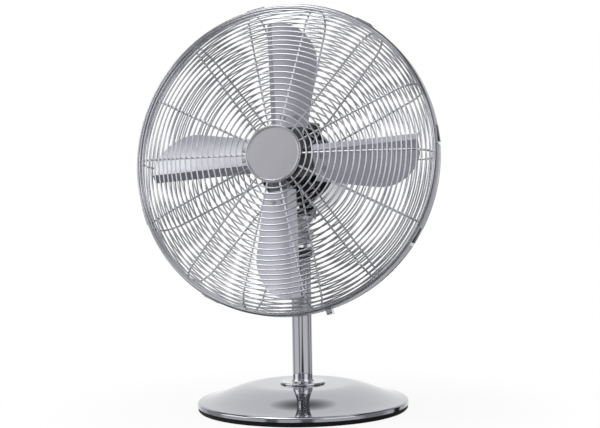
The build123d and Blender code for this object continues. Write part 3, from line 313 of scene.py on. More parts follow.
def rounded(points, radius):
    """A closed outline with every corner rounded, less where its sides are short."""
    result = []
    count = len(points)
    for index in range(count):
        here = Vector(points[index])
        if here.x < ON_AXIS:
            result.append(here)
            continue
        back = Vector(points[index - 1]) - here
        ahead = Vector(points[(index + 1) % count]) - here
        reach = min(radius, back.length * CORNER_SHARE, ahead.length * CORNER_SHARE)
        start = here + back.normalized() * reach
        end = here + ahead.normalized() * reach
        for step in range(CORNER_STEPS + 1):
            t = step / CORNER_STEPS
            result.append(start * (1 - t) ** 2 + here * 2 * t * (1 - t) + end * t * t)
    return result


def ring_outline(inner, outer, low, high, radius=EDGE_ROUND):
    """Rounded half section of a plain ring."""
    return rounded([(inner, low), (outer, low), (outer, high), (inner, high)], radius)


def turned(name, outline, matrix, steps=TURN_STEPS):
    """A solid of revolution from a closed outline of (radius, height) in millimetres."""
    shape = bmesh.new()
    columns = []
    for point in outline:
        radius = point[0] * MM
        height = point[1] * MM
        if point[0] < ON_AXIS:
            columns.append([shape.verts.new((0, 0, height))] * steps)
            continue
        columns.append([
            shape.verts.new((radius * cos(2 * pi * k / steps), radius * sin(2 * pi * k / steps), height))
            for k in range(steps)
        ])
    for index in range(len(columns)):
        first = columns[index]
        second = columns[(index + 1) % len(columns)]
        for k in range(steps):
            corners = [first[k], first[(k + 1) % steps], second[(k + 1) % steps], second[k]]
            unique = list(dict.fromkeys(corners))
            if len(unique) > 2:
                shape.faces.new(unique)
    bmesh.ops.recalc_face_normals(shape, faces=shape.faces)
    mesh = mesh_of(name, shape)
    mesh.transform(matrix)
    soften(mesh)
    return mesh


# Node trees that make what repeats

def node_tree(name, inputs):
    """A new tree with geometry in and out and further named inputs of the given kinds."""
    tree = bpy.data.node_groups.new(name, "GeometryNodeTree")
    tree.interface.new_socket("Geometry", in_out="INPUT", socket_type="NodeSocketGeometry")
    for label, kind in inputs.items():
        tree.interface.new_socket(label, in_out="INPUT", socket_type="NodeSocket" + kind)
    tree.interface.new_socket("Geometry", in_out="OUTPUT", socket_type="NodeSocketGeometry")
    return tree


def end_tree(tree, geometry, metal):
    """Ends a tree in real, smooth geometry of one metal."""
    link = tree.links.new
    real = tree.nodes.new("GeometryNodeRealizeInstances")
    link(geometry, real.inputs["Geometry"])
    smooth = tree.nodes.new("GeometryNodeSetShadeSmooth")
    link(real.outputs["Geometry"], smooth.inputs["Geometry"])
    paint = tree.nodes.new("GeometryNodeSetMaterial")
    link(smooth.outputs["Geometry"], paint.inputs["Geometry"])
    link(metal, paint.inputs["Material"])
    link(paint.outputs["Geometry"], tree.nodes.new("NodeGroupOutput").inputs["Geometry"])


def made_by(tree, name, source, values, scratch):
    """Mesh that a tree makes from a curve or from points, without the tree's own scratch attribute."""
    maker = bpy.data.objects.new(name + "_maker", source)
    bpy.context.scene.collection.objects.link(maker)
    modifier = maker.modifiers.new(name, "NODES")
    modifier.node_group = tree
    for socket in tree.interface.items_tree:
        if socket.item_type == "SOCKET" and socket.in_out == "INPUT" and socket.name in values:
            modifier[socket.identifier] = values[socket.name]
    graph = bpy.context.evaluated_depsgraph_get()
    mesh = bpy.data.meshes.new_from_object(maker.evaluated_get(graph))
    mesh.name = name
    maker.modifiers.remove(modifier)
    bpy.data.objects.remove(maker)
    if scratch in mesh.attributes:
        mesh.attributes.remove(mesh.attributes[scratch])
    return mesh


# Wire guards: rings spaced along one spoke line, spokes and a heavier rim

SPOKE_COUNT = 14
SPOKE_ANGLE = 1.5
SPOKE_START_R = 30.0
RING_WIRE_R = 1.1
RIM_WIRE_R = 2.0
RIM_HEIGHT = 3.0
FACE_DROP = 5.5
SHOULDER_R = 187.0
FIRST_RING_R = 47.0
INNER_PITCH = 8.45
INNER_RINGS = 12
OUTER_PITCH = 6.5
WELD_DEPTH = 0.4
FACE_STEPS = 24
SHOULDER_STEPS = 20
WIRE_SIDES = 8
RIM_SIDES = 10
REAR_DISC_IN_R = 15.3
REAR_DISC_R = 43.0
REAR_DISC_T = 1.2
RING_SIZE = "ring_size"
GUARD_INPUTS = {
    "Ring wire": "Float", "Spoke wire": "Float", "Rim wire": "Float", "Rim radius": "Float",
    "Rim height": "Float", "First ring": "Float", "Inner pitch": "Float", "Outer pitch": "Float",
    "Ring lift": "Float", "First angle": "Float", "Inner rings": "Int", "Ring count": "Int",
    "Spoke count": "Int", "Metal": "Material",
}
rim_r = BAND_R - BAND_T - RIM_WIRE_R - WELD_GAP
spoke_rim_r = rim_r - RIM_WIRE_R - SPOKE_WIRE_R + WELD_DEPTH
ring_lift = SPOKE_WIRE_R + RING_WIRE_R + WELD_GAP


def round_wire(tree, curve, radius, sides):
    """A curve given a round section."""
    section = add_node(tree, "GeometryNodeCurvePrimitiveCircle", Resolution=sides)
    tree.links.new(radius, section.inputs["Radius"])
    sweep = add_node(tree, "GeometryNodeCurveToMesh", Fill_Caps=True)
    tree.links.new(curve, sweep.inputs["Curve"])
    tree.links.new(section.outputs["Curve"], sweep.inputs["Profile Curve"])
    return sweep.outputs["Mesh"]


def spoke_wires(tree, given):
    """The spoke's wire set at even angles round the fan axis."""
    link = tree.links.new
    wire = round_wire(tree, given["Geometry"], given["Spoke wire"], WIRE_SIDES)
    points = tree.nodes.new("GeometryNodePoints")
    link(given["Spoke count"], points.inputs["Count"])
    index = tree.nodes.new("GeometryNodeInputIndex").outputs["Index"]
    step = math_node(tree, "DIVIDE", 2 * pi, given["Spoke count"])
    turn = tree.nodes.new("ShaderNodeCombineXYZ")
    link(math_node(tree, "MULTIPLY_ADD", index, step, given["First angle"]), turn.inputs["Z"])
    spokes = tree.nodes.new("GeometryNodeInstanceOnPoints")
    link(points.outputs["Points"], spokes.inputs["Points"])
    link(wire, spokes.inputs["Instance"])
    link(turn.outputs["Vector"], spokes.inputs["Rotation"])
    return spokes.outputs["Instances"]


def ring_places(tree, given):
    """Radius and height of each ring: wide apart over the inner face and closer over the rest."""
    link = tree.links.new
    index = tree.nodes.new("GeometryNodeInputIndex").outputs["Index"]
    last_inner = math_node(tree, "SUBTRACT", given["Inner rings"], 1)
    inner_steps = math_node(tree, "MINIMUM", index, last_inner)
    outer_steps = math_node(tree, "MAXIMUM", math_node(tree, "SUBTRACT", index, last_inner), 0)
    inner_length = math_node(tree, "MULTIPLY", inner_steps, given["Inner pitch"])
    outer_length = math_node(tree, "MULTIPLY", outer_steps, given["Outer pitch"])
    past_first = math_node(tree, "ADD", inner_length, outer_length)
    sample = add_node(tree, "GeometryNodeSampleCurve", mode="LENGTH")
    link(given["Geometry"], sample.inputs["Curves"])
    link(math_node(tree, "ADD", past_first, given["First ring"]), sample.inputs["Length"])
    place = tree.nodes.new("ShaderNodeSeparateXYZ")
    link(sample.outputs["Position"], place.inputs["Vector"])
    way = tree.nodes.new("ShaderNodeSeparateXYZ")
    link(sample.outputs["Tangent"], way.inputs["Vector"])
    inward = math_node(tree, "MULTIPLY", way.outputs["Z"], given["Ring lift"])
    upward = math_node(tree, "MULTIPLY", way.outputs["X"], given["Ring lift"])
    radius = math_node(tree, "SUBTRACT", place.outputs["X"], inward)
    height = math_node(tree, "ADD", place.outputs["Z"], upward)
    return radius, height


def ring_wires(tree, given):
    """A round wire at the place of every ring, welded on the spokes' outer side."""
    link = tree.links.new
    radius, height = ring_places(tree, given)
    points = tree.nodes.new("GeometryNodePoints")
    link(given["Ring count"], points.inputs["Count"])
    size = add_node(tree, "ShaderNodeCombineXYZ", Z=1.0)
    link(radius, size.inputs["X"])
    link(radius, size.inputs["Y"])
    keep = add_node(tree, "GeometryNodeStoreNamedAttribute", data_type="FLOAT_VECTOR", domain="POINT",
                    Name=RING_SIZE)
    link(points.outputs["Points"], keep.inputs["Geometry"])
    link(size.outputs["Vector"], keep.inputs["Value"])
    lift = tree.nodes.new("ShaderNodeCombineXYZ")
    link(height, lift.inputs["Z"])
    move = tree.nodes.new("GeometryNodeSetPosition")
    link(keep.outputs["Geometry"], move.inputs["Geometry"])
    link(lift.outputs["Vector"], move.inputs["Position"])
    unit = add_node(tree, "GeometryNodeCurvePrimitiveCircle", Resolution=TURN_STEPS, Radius=1.0)
    kept = add_node(tree, "GeometryNodeInputNamedAttribute", data_type="FLOAT_VECTOR", Name=RING_SIZE)
    rings = tree.nodes.new("GeometryNodeInstanceOnPoints")
    link(move.outputs["Geometry"], rings.inputs["Points"])
    link(unit.outputs["Curve"], rings.inputs["Instance"])
    link(kept.outputs["Attribute"], rings.inputs["Scale"])
    real = tree.nodes.new("GeometryNodeRealizeInstances")
    link(rings.outputs["Instances"], real.inputs["Geometry"])
    return round_wire(tree, real.outputs["Geometry"], given["Ring wire"], WIRE_SIDES)


def rim_wire(tree, given):
    """The heavier wire round the rim, raised to its height."""
    link = tree.links.new
    circle = add_node(tree, "GeometryNodeCurvePrimitiveCircle", Resolution=TURN_STEPS)
    link(given["Rim radius"], circle.inputs["Radius"])
    lift = tree.nodes.new("ShaderNodeCombineXYZ")
    link(given["Rim height"], lift.inputs["Z"])
    rim = tree.nodes.new("GeometryNodeTransform")
    link(round_wire(tree, circle.outputs["Curve"], given["Rim wire"], RIM_SIDES), rim.inputs["Geometry"])
    link(lift.outputs["Vector"], rim.inputs["Translation"])
    return rim.outputs["Geometry"]


def guard_tree():
    """The tree that makes a guard from the curve of one spoke."""
    tree = node_tree("wire_guard", GUARD_INPUTS)
    given = tree.nodes.new("NodeGroupInput").outputs
    join = tree.nodes.new("GeometryNodeJoinGeometry")
    for wires in (spoke_wires(tree, given), ring_wires(tree, given), rim_wire(tree, given)):
        tree.links.new(wires, join.inputs["Geometry"])
    end_tree(tree, join.outputs["Geometry"], given["Metal"])
    return tree


def spoke_points(depth):
    """A spoke's centre line in the half section: a crowned face, then a rounded shoulder."""
    crown = tangent_arc(Vector((SPOKE_START_R, depth)), Vector((1, 0)),
                        Vector((SHOULDER_R, depth - FACE_DROP)), FACE_STEPS)
    heading = (crown[-1] - crown[-2]).normalized()
    shoulder = tangent_arc(crown[-1], heading, Vector((spoke_rim_r, RIM_HEIGHT)), SHOULDER_STEPS)
    return crown + shoulder[1:]


def spoke_curve(name, points):
    """The spoke's centre line as a curve in metres."""
    curve = bpy.data.curves.new(name + "_line", "CURVE")
    curve.dimensions = "3D"
    spline = curve.splines.new("POLY")
    spline.points.add(len(points) - 1)
    for target, point in zip(spline.points, points):
        target.co = (point.x * MM, 0, point.y * MM, 1)
    return curve


def wire_guard(name, depth, matrix, first_angle, tree):
    """Mesh of one guard, made by the tree from its spoke line."""
    points = spoke_points(depth)
    length = sum((after - before).length for before, after in zip(points, points[1:]))
    first = FIRST_RING_R - SPOKE_START_R
    last_inner = first + INNER_PITCH * (INNER_RINGS - 1)
    outer_rings = 0
    # The last ring stays more than one pitch short of the spoke's end
    while last_inner + OUTER_PITCH * (outer_rings + 2) < length:
        outer_rings += 1
    curve = spoke_curve(name, points)
    mesh = made_by(tree, name, curve, {
        "Ring wire": RING_WIRE_R * MM,
        "Spoke wire": SPOKE_WIRE_R * MM,
        "Rim wire": RIM_WIRE_R * MM,
        "Rim radius": rim_r * MM,
        "Rim height": RIM_HEIGHT * MM,
        "First ring": first * MM,
        "Inner pitch": INNER_PITCH * MM,
        "Outer pitch": OUTER_PITCH * MM,
        "Ring lift": ring_lift * MM,
        "First angle": radians(first_angle),
        "Inner rings": INNER_RINGS,
        "Ring count": INNER_RINGS + outer_rings,
        "Spoke count": SPOKE_COUNT,
        "Metal": MATERIALS["wire"],
    }, RING_SIZE)
    bpy.data.curves.remove(curve)
    mesh.transform(matrix)
    return mesh


def add_rear_disc(guard):
    """Joins the disc that carries the rear spokes to the rear guard's mesh."""
    low = REAR_DEPTH + SPOKE_WIRE_R + WELD_GAP
    outline = ring_outline(REAR_DISC_IN_R, REAR_DISC_R, low, low + REAR_DISC_T)
    joined = bmesh.new()
    joined.from_mesh(guard)
    joined.from_mesh(turned("rear_disc", outline, HEAD_BACK))
    joined.to_mesh(guard)
    joined.free()
    soften(guard, WIRE_SHARP_ANGLE)


guard_maker = guard_tree()
front_wires = wire_guard("front_wires", FRONT_DEPTH, HEAD, SPOKE_ANGLE, guard_maker)
place_piece("front_wires", front_wires, "chrome", "head", "front_guard", "front_rings",
            "front_shoulder_rings", finish="wire")
rear_wires = wire_guard("rear_wires", REAR_DEPTH, HEAD_BACK, -SPOKE_ANGLE, guard_maker)
add_rear_disc(rear_wires)
place_piece("rear_wires", rear_wires, "chrome", "head", "rear_guard", "rear_rings",
            "rear_shoulder_rings", finish="wire")

# Stand: foot, cover, pole and its flange and collar

FOOT_INSET = 1.0
FOOT_WIDTH = 14.0
FOOT_CHAMFER = 2.0
FOOT_ROUND = FOOT_CHAMFER / 3
COVER_WALL = 1.2
COVER_RIM = 7.0
DOME_H = 37.0
DOME_TOP_R = 66.0
DOME_MID_R = 110.0
DOME_MID_H = 26.3
DOME_EDGE_SLOPE = 0.14
POLE_WALL = 1.5
POLE_TOP = 222.0
FLANGE_R = 33.0
FLANGE_H = 5.5
FLANGE_EDGE = 3.0
FLANGE_SLOPE = 0.1
FLANGE_WALL = 1.6
COLLAR_WALL = 2.4
COLLAR_LOW = 218.0
COLLAR_HIGH = 234.0
COLLAR_FILLET = 0.8
DOME_STEPS = 24
ROLL_STEPS = 8
LIP_STEPS = 5
CROWN_STEPS = 14


def foot_outline():
    """Half section of the foot ring, chamfered at its lower outer edge."""
    outer = BASE_R - FOOT_INSET
    inner = outer - FOOT_WIDTH
    return rounded([(inner, 0), (outer - FOOT_CHAMFER, 0), (outer, FOOT_CHAMFER), (outer, FOOT_H),
                    (inner, FOOT_H)], FOOT_ROUND)


def cover_outline():
    """Half section of the base cover: a long shallow dome rolled over at the rim."""
    rim = FOOT_H + COVER_RIM
    low = rim - COVER_RIM / 2
    shoulder = (BASE_R - COVER_RIM / 2, rim)
    fall = (1, -DOME_EDGE_SLOPE)
    outer = [(POLE_R, DOME_H)]
    outer += through((DOME_TOP_R, DOME_H), (1, 0), (DOME_MID_R, DOME_MID_H), shoulder, fall, DOME_STEPS)
    outer += bent(shoulder, fall, (BASE_R, low), (0, -1), ROLL_STEPS)[1:]
    outer += [(BASE_R, FOOT_H), (BASE_R - COVER_WALL, FOOT_H)]
    inner = [(BASE_R - COVER_WALL, low - COVER_WALL), (DOME_MID_R, DOME_MID_H - COVER_WALL),
             (DOME_TOP_R, DOME_H - COVER_WALL), (POLE_R, DOME_H - COVER_WALL)]
    return [Vector(point) for point in outer + inner]


def flange_outline():
    """Half section of the low disc round the foot of the pole."""
    top = DOME_H + FLANGE_H
    edge = FLANGE_EDGE / 2
    rim = (FLANGE_R, DOME_H + edge)
    brow = (FLANGE_R - edge, DOME_H + FLANGE_EDGE)
    climb = (-1, FLANGE_SLOPE)
    lip = bent((FLANGE_R - edge / 2, DOME_H), (1, 0), rim, (0, 1), LIP_STEPS)
    lip += bent(rim, (0, 1), brow, climb, LIP_STEPS)[1:]
    crown = bent(brow, climb, (POLE_R + FLANGE_WALL, top), (0, 1), CROWN_STEPS)
    return [Vector((POLE_R, DOME_H))] + lip + crown[1:] + [Vector((POLE_R, top))]


pole = ring_outline(POLE_R - POLE_WALL, POLE_R, DOME_H, POLE_TOP)
collar = ring_outline(POLE_R, POLE_R + COLLAR_WALL, COLLAR_LOW, COLLAR_HIGH, COLLAR_FILLET)
place_piece("foot", turned("foot", foot_outline(), STAND, FINE_STEPS), "foot_rubber", "stand", "foot_ring")
place_piece("cover", turned("cover", cover_outline(), STAND, FINE_STEPS), "chrome", "stand", "base_cover",
            finish="base_chrome")
place_piece("pole_tube", turned("pole_tube", pole, STAND, POLE_STEPS), "chrome", "stand", "pole")
place_piece("flange", turned("flange", flange_outline(), STAND), "chrome", "stand", "pole_flange")
place_piece("collar", turned("collar", collar, STAND, POLE_STEPS), "black_plastic", "stand", "pole_collar")

# Band, badge and bezel

BAND_EDGE = 0.4
BADGE_R = 40.0
BADGE_H = 4.6
BADGE_RECESS = 0.8
BADGE_CROWN = 0.25
BADGE_SLOPE = 0.02
BADGE_STEPS = 12
BEZEL_WIDTH = 4.0
BEZEL_FILLET = 1.3
badge_low = FRONT_DEPTH + SPOKE_WIRE_R + WELD_GAP
badge_top = badge_low + BADGE_H
plate_r = BADGE_R - BEZEL_WIDTH


def plate_outline():
    """Half section of the badge's plate, a little crowned and set below the bezel."""
    top = badge_top - BADGE_RECESS
    crown = bent((plate_r, top - BADGE_CROWN), (-1, BADGE_SLOPE), (0, top), (-1, 0), BADGE_STEPS)
    return [Vector((0, badge_low)), Vector((plate_r, badge_low))] + crown


band = ring_outline(BAND_R - BAND_T, BAND_R, -BAND_WIDTH / 2, BAND_WIDTH / 2, BAND_EDGE)
bezel = ring_outline(plate_r, BADGE_R, badge_low, badge_top, BEZEL_FILLET)
place_piece("band", turned("band", band, HEAD, FINE_STEPS), "satin_band", "head", "guard_ring")
place_piece("bezel", turned("bezel", bezel, HEAD), "chrome", "head", "badge_bezel", finish="bezel")
place_piece("badge_plate", turned("badge_plate", plate_outline(), HEAD), "badge_face", "head", "badge")

# Rivets and clips: one shape set at many places by a node tree

TURN = "turn"
REPEAT_INPUTS = {"Shape": "Object", "Size": "Float", "Metal": "Material"}


def repeat_tree():
    """The tree that sets a shape at every point, turned as the point says."""
    tree = node_tree("set_at_places", REPEAT_INPUTS)
    link = tree.links.new
    given = tree.nodes.new("NodeGroupInput").outputs
    shape = tree.nodes.new("GeometryNodeObjectInfo")
    link(given["Shape"], shape.inputs["Object"])
    turn = add_node(tree, "GeometryNodeInputNamedAttribute", data_type="FLOAT_VECTOR", Name=TURN)
    copies = tree.nodes.new("GeometryNodeInstanceOnPoints")
    link(given["Geometry"], copies.inputs["Points"])
    link(shape.outputs["Geometry"], copies.inputs["Instance"])
    link(turn.outputs["Attribute"], copies.inputs["Rotation"])
    link(given["Size"], copies.inputs["Scale"])
    end_tree(tree, copies.outputs["Instances"], given["Metal"])
    return tree


repeat_maker = repeat_tree()


def repeated(name, shape_mesh, places, metal):
    """Mesh of one shape repeated at the given matrices."""
    shape = bpy.data.objects.new(name + "_shape", shape_mesh)
    bpy.context.scene.collection.objects.link(shape)
    points = bpy.data.meshes.new(name + "_places")
    points.from_pydata([tuple(place.to_translation()) for place in places], [], [])
    turns = points.attributes.new(TURN, "FLOAT_VECTOR", "POINT")
    for row, place in zip(turns.data, places):
        row.vector = place.to_euler()
    values = {"Shape": shape, "Size": 1.0, "Metal": MATERIALS[metal]}
    mesh = made_by(repeat_maker, name, points, values, TURN)
    bpy.data.objects.remove(shape)
    soften(mesh)
    return mesh


# Blade rivets, a dome on both faces of every blade's root

BLADE_COUNT = 4
BLADE_SWEEP = 5.0
BLADE_T = 1.0
BLADE_PITCH = radians(21.0)
CAMBER_R = 131.0
CAMBER_MID_X = 22.6
CAMBER_MID_S = -2.2
ARM_X = 11.0
ARM_T = 2.0
ARM_GAP = 0.1
RIVET_Y = 58.0
RIVET_SPACING = 16.0
RIVET_SEAT = 0.1
RIVET_HEAD_R = 4.2
RIVET_HEAD_H = 1.4
RIVET_EDGE = 0.35
RIVET_LEAN = 0.2
RIVET_CURVE_STEPS = 8
RIVET_TURN_STEPS = 24
camber_x = CAMBER_MID_X + CAMBER_R * sin(BLADE_PITCH)
camber_s = CAMBER_MID_S + CAMBER_R * cos(BLADE_PITCH)


def rivet_head():
    """A low dome on a short edge, standing on its local XY plane."""
    crown = bent((RIVET_HEAD_R, RIVET_EDGE), (-RIVET_LEAN, 1), (0, RIVET_HEAD_H), (-1, 0),
                 RIVET_CURVE_STEPS)
    outline = [Vector((0, 0)), Vector((RIVET_HEAD_R, 0))] + crown
    return turned("rivet", outline, Matrix.Identity(4), RIVET_TURN_STEPS)


def rivet_places():
    """Seats of the rivet heads on both faces of the blade roots."""
    places = []
    along = Vector((0, 1, 0))
    for index in range(BLADE_COUNT):
        blade = HEAD @ Matrix.Rotation(radians(BLADE_SWEEP + 360 / BLADE_COUNT * index), 4, "Z")
        for way in (-1, 1):
            x = ARM_X + way * RIVET_SPACING / 2
            s = camber_s - sqrt(CAMBER_R**2 - (x - camber_x) ** 2)
            inward = Vector((camber_x - x, 0, camber_s - s)).normalized()
            front = Vector((x, RIVET_Y, s)) + inward * RIVET_SEAT
            rear = Vector((x, RIVET_Y, s)) - inward * (BLADE_T + ARM_GAP + ARM_T)
            for foot, out in ((front, inward), (rear, -inward)):
                seat = frame_matrix(foot * MM, along.cross(out).normalized(), along, out)
                places.append(blade @ seat)
    return places


place_piece("rivets", repeated("rivets", rivet_head(), rivet_places(), "hub_metal"), "hub_metal", "rotor",
            "blade_rivets")

# Spring clips round the band: a strip hooked over both edges, with a sprung lever on it

CLIP_ANGLES = (8.0, 59.5, 103.0, 149.0, 201.5, 243.0, 330.5)
CLIP_LENGTH = 27.0
CLIP_T = 1.0
CLIP_LIFT = 1.0
CLIP_LEVER_WIDTH = 12.0
CLIP_LEVER_REACH = 9.0
CLIP_STEPS = 12
CLIP_ROUND = 0.22
clip_low = BAND_R + WELD_GAP
clip_high = clip_low + CLIP_T


def joined_rows(name, rows, shape):
    """A closed shape through rows of points, with its sharp edges rounded over."""
    count = len(rows[0])
    for first, second in zip(rows, rows[1:]):
        for k in range(count):
            after = (k + 1) % count
            shape.faces.new((first[k], first[after], second[after], second[k]))
    shape.faces.new(rows[0])
    shape.faces.new(list(reversed(rows[-1])))
    bmesh.ops.recalc_face_normals(shape, faces=shape.faces)
    sharp = [edge for edge in shape.edges if edge.calc_face_angle(0) > BEVEL_ANGLE]
    bmesh.ops.bevel(shape, geom=sharp, offset=CLIP_ROUND * MM, segments=BEVEL_STEPS, profile=0.5,
                    affect="EDGES")
    return mesh_of(name, shape)


def clip_strip():
    """The strip of one clip, centred on the local X axis, in the head's frame."""
    hook = BAND_R - BAND_T
    edge = BAND_WIDTH / 2 + WELD_GAP
    brim = edge + CLIP_T
    section = [(hook, -brim), (clip_high, -brim), (clip_high, brim), (hook, brim),
               (hook, edge), (clip_low, edge), (clip_low, -edge), (hook, -edge)]
    half = CLIP_LENGTH / BAND_R / 2
    shape = bmesh.new()
    rows = []
    for k in range(CLIP_STEPS + 1):
        angle = half * (2 * k / CLIP_STEPS - 1)
        points = [Vector((r * cos(angle), r * sin(angle), s)) for r, s in section]
        rows.append([shape.verts.new(point * MM) for point in points])
    return joined_rows("clip_strip", rows, shape)


def clip_lever():
    """The sprung lever of one clip, standing a little off its strip."""
    corners = [(clip_low + CLIP_T / 2, CLIP_LENGTH / 2), (clip_high, CLIP_LENGTH / 2),
               (clip_high + CLIP_LIFT, -CLIP_LEVER_REACH), (clip_low + CLIP_LIFT, -CLIP_LEVER_REACH)]
    shape = bmesh.new()
    rows = []
    for s in (-CLIP_LEVER_WIDTH / 2, CLIP_LEVER_WIDTH / 2):
        rows.append([shape.verts.new(Vector((x, y, s)) * MM) for x, y in corners])
    return joined_rows("clip_lever", rows, shape)


clip_places = [HEAD @ Matrix.Rotation(radians(angle), 4, "Z") for angle in CLIP_ANGLES]
clips = repeated("clips", clip_strip(), clip_places, "chrome")
# The levers take the nearly black paint that stands in for a dark reflection on their chrome
levers = repeated("clip_levers", clip_lever(), clip_places, "painted_dark_reflection")
place_piece("clips", clips, "chrome", "head", "ring_clips")
place_piece("clip_levers", levers, "chrome", "head", finish="painted_dark_reflection")

# Every other piece: a copy of the CAD shape with clean shading and softened edges

MERGE_DISTANCE = 1e-6
SLOT_OF = {row["node"]: row["material_slot"] for row in frame["record"]["subparts"]}
BODY_OF = {node: body for body, nodes in frame["record"]["behaviour"]["bodies"].items() for node in nodes}
# The washer lies on the bush, so its copy is drawn in by this many millimetres
EASE_OF = {"thrust_washer": 0.02}
# The neck parts take the rougher chrome that is painted lighter against their shade
FINISH_OF = {"blade_hub": "dark_cast", "neck_yoke": "neck_chrome_painted_light", "neck_head": "neck_chrome_painted_light"}


def softened_copy(node, slot, body, finish=None, ease=0.0):
    """The CAD piece with its flats joined, its skin drawn in by ease and its edges rounded over."""
    shape = bmesh.new()
    shape.from_mesh(frame["nodes"][node].data)
    bmesh.ops.remove_doubles(shape, verts=shape.verts, dist=MERGE_DISTANCE)
    bmesh.ops.dissolve_limit(shape, angle_limit=FLAT_ANGLE, verts=shape.verts, edges=shape.edges)
    if ease:
        shape.normal_update()
        inward = [(vertex, vertex.normal * (-ease * MM)) for vertex in shape.verts]
        for vertex, step in inward:
            vertex.co += step
    mesh = mesh_of(node + "_soft", shape)
    soften(mesh)
    piece = place_piece(node + "_soft", mesh, slot, body, node, finish=finish)
    bevel = piece.modifiers.new("edge", "BEVEL")
    bevel.width = EDGE_ROUND * MM
    bevel.segments = BEVEL_STEPS
    bevel.limit_method = "ANGLE"
    bevel.angle_limit = BEVEL_ANGLE
    bevel.harden_normals = True


for node in sorted(frame["nodes"]):
    if node not in dressed_nodes:
        softened_copy(node, SLOT_OF[node], BODY_OF[node], FINISH_OF.get(node), EASE_OF.get(node, 0.0))

# Camera at the photograph's place: angles in degrees, lengths in metres

VIEW_DISTANCE = 2.12
VIEW_AZIMUTH = 18.5
VIEW_HEIGHT = 0.374
VIEW_PITCH = -2.5
VIEW_ROLL = -0.97
PHOTO_PIXELS = 600
FOCAL_PIXELS = 1473
SENSOR_MM = 36.0


def way_at(bearing, elevation):
    """Direction from the fan at a bearing to the right of the camera's and an elevation, in degrees."""
    turn = radians(VIEW_AZIMUTH + bearing)
    rise = radians(elevation)
    return Vector((sin(turn) * cos(rise), -cos(turn) * cos(rise), sin(rise)))


eye = way_at(0, 0) * VIEW_DISTANCE + Vector((0, 0, VIEW_HEIGHT))
look = way_at(180, VIEW_PITCH)
across = way_at(90, 0)
upright = across.cross(look)
roll = radians(VIEW_ROLL)
right = across * cos(roll) + upright * sin(roll)
top = -across * sin(roll) + upright * cos(roll)
lens = bpy.data.cameras.new("photo_view")
lens.sensor_width = SENSOR_MM
lens.sensor_fit = "HORIZONTAL"
lens.lens = SENSOR_MM * FOCAL_PIXELS / PHOTO_PIXELS
camera = bpy.data.objects.new("photo_view", lens)
bpy.context.scene.collection.objects.link(camera)
camera.matrix_world = frame_matrix(eye, right, top, -look)
bpy.context.scene.camera = camera
bpy.context.scene.view_settings.view_transform = "Standard"

# Floor: matt white near the fan, where its shadow falls, and plain white further out

FLOOR_R = 0.5
FLOOR_SIDES = 64
FLOOR_COLOUR = (0.9, 0.9, 0.9, 1)
FLOOR_ROUGHNESS = 0.8
SHADOW_FADE = (0.2, 0.45)
FLOOR_GLOW = (0.9, 1.0)


def floor_paint():
    """Matt paint that glows white for the camera, a little less where the shadow falls."""
    paint = bpy.data.materials.new("pale_floor")
    paint.use_nodes = True
    tree = paint.node_tree
    link = tree.links.new
    matt = tree.nodes["Principled BSDF"]
    matt.inputs["Base Color"].default_value = FLOOR_COLOUR
    matt.inputs["Roughness"].default_value = FLOOR_ROUGHNESS
    glow = add_node(tree, "ShaderNodeEmission", Color=WHITE, Strength=1.0)
    distance = add_node(tree, "ShaderNodeVectorMath", operation="LENGTH")
    link(add_node(tree, "ShaderNodeTexCoord").outputs["Object"], distance.inputs[0])
    fade = mapped(tree, distance.outputs["Value"], SHADOW_FADE, FLOOR_GLOW,
                  interpolation_type="SMOOTHSTEP")
    seen = add_node(tree, "ShaderNodeLightPath").outputs["Is Camera Ray"]
    mix = add_node(tree, "ShaderNodeMixShader")
    link(math_node(tree, "MULTIPLY", seen, fade), mix.inputs["Fac"])
    link(matt.outputs["BSDF"], mix.inputs[1])
    link(glow.outputs["Emission"], mix.inputs[2])
    link(mix.outputs["Shader"], tree.nodes["Material Output"].inputs["Surface"])
    return paint


floor_angles = [2 * pi * k / FLOOR_SIDES for k in range(FLOOR_SIDES)]
floor_mesh = bpy.data.meshes.new("floor")
floor_mesh.from_pydata([(FLOOR_R * cos(angle), FLOOR_R * sin(angle), 0) for angle in floor_angles], [],
                       [range(FLOOR_SIDES)])
floor_mesh.materials.append(floor_paint())
floor = bpy.data.objects.new("floor", floor_mesh)
bpy.context.scene.collection.objects.link(floor)
floor.visible_glossy = False

# World: a white backdrop behind the fan, and round it a dimmer room with dark strips and cards

# Heights are on the unit sphere, and bearings are in degrees to the right of the camera's
# Walls: height and grey
WALLS = ((-1.0, 0.1), (-0.78, 0.1), (-0.64, 1.0), (-0.3, 1.0), (0.1, 0.82), (0.3, 0.65), (0.48, 0.6),
         (0.58, 0.14), (0.84, 0.14), (0.87, 1.0), (1.0, 1.0))
# Strips near the horizon: bearing, half width and grey, and the heights over which they fade out
STRIPS = ((-112, 20, 0.45), (-34, 9, 0.2), (4, 9, 0.2), (82, 22, 0.35), (121, 9, 0.03))
STRIP_FADE = (0.3, 0.5)
ROOM_GREY = 0.75
# Round cards: bearing, elevation, and the cosines from the middle at which they begin and are full
CARDS = ((90, -52, 0.74, 0.84), (0, -30, 0.92, 0.96))
CARD_GREY = (0.05, 0.05, 0.05, 1)
# Backdrop: degrees from straight behind the fan, and heights of its foot and top, each with its fade
BACKDROP_HALF = (28, 42)
BACKDROP_FOOT = (-0.3, -0.15)
BACKDROP_TOP = (0.73, 0.8)
SKY_TINT = 1.04
FRONT_ON_GRADIENT = 0.25
world = bpy.data.worlds.new("studio")
bpy.context.scene.world = world
world.use_nodes = True
sky = world.node_tree


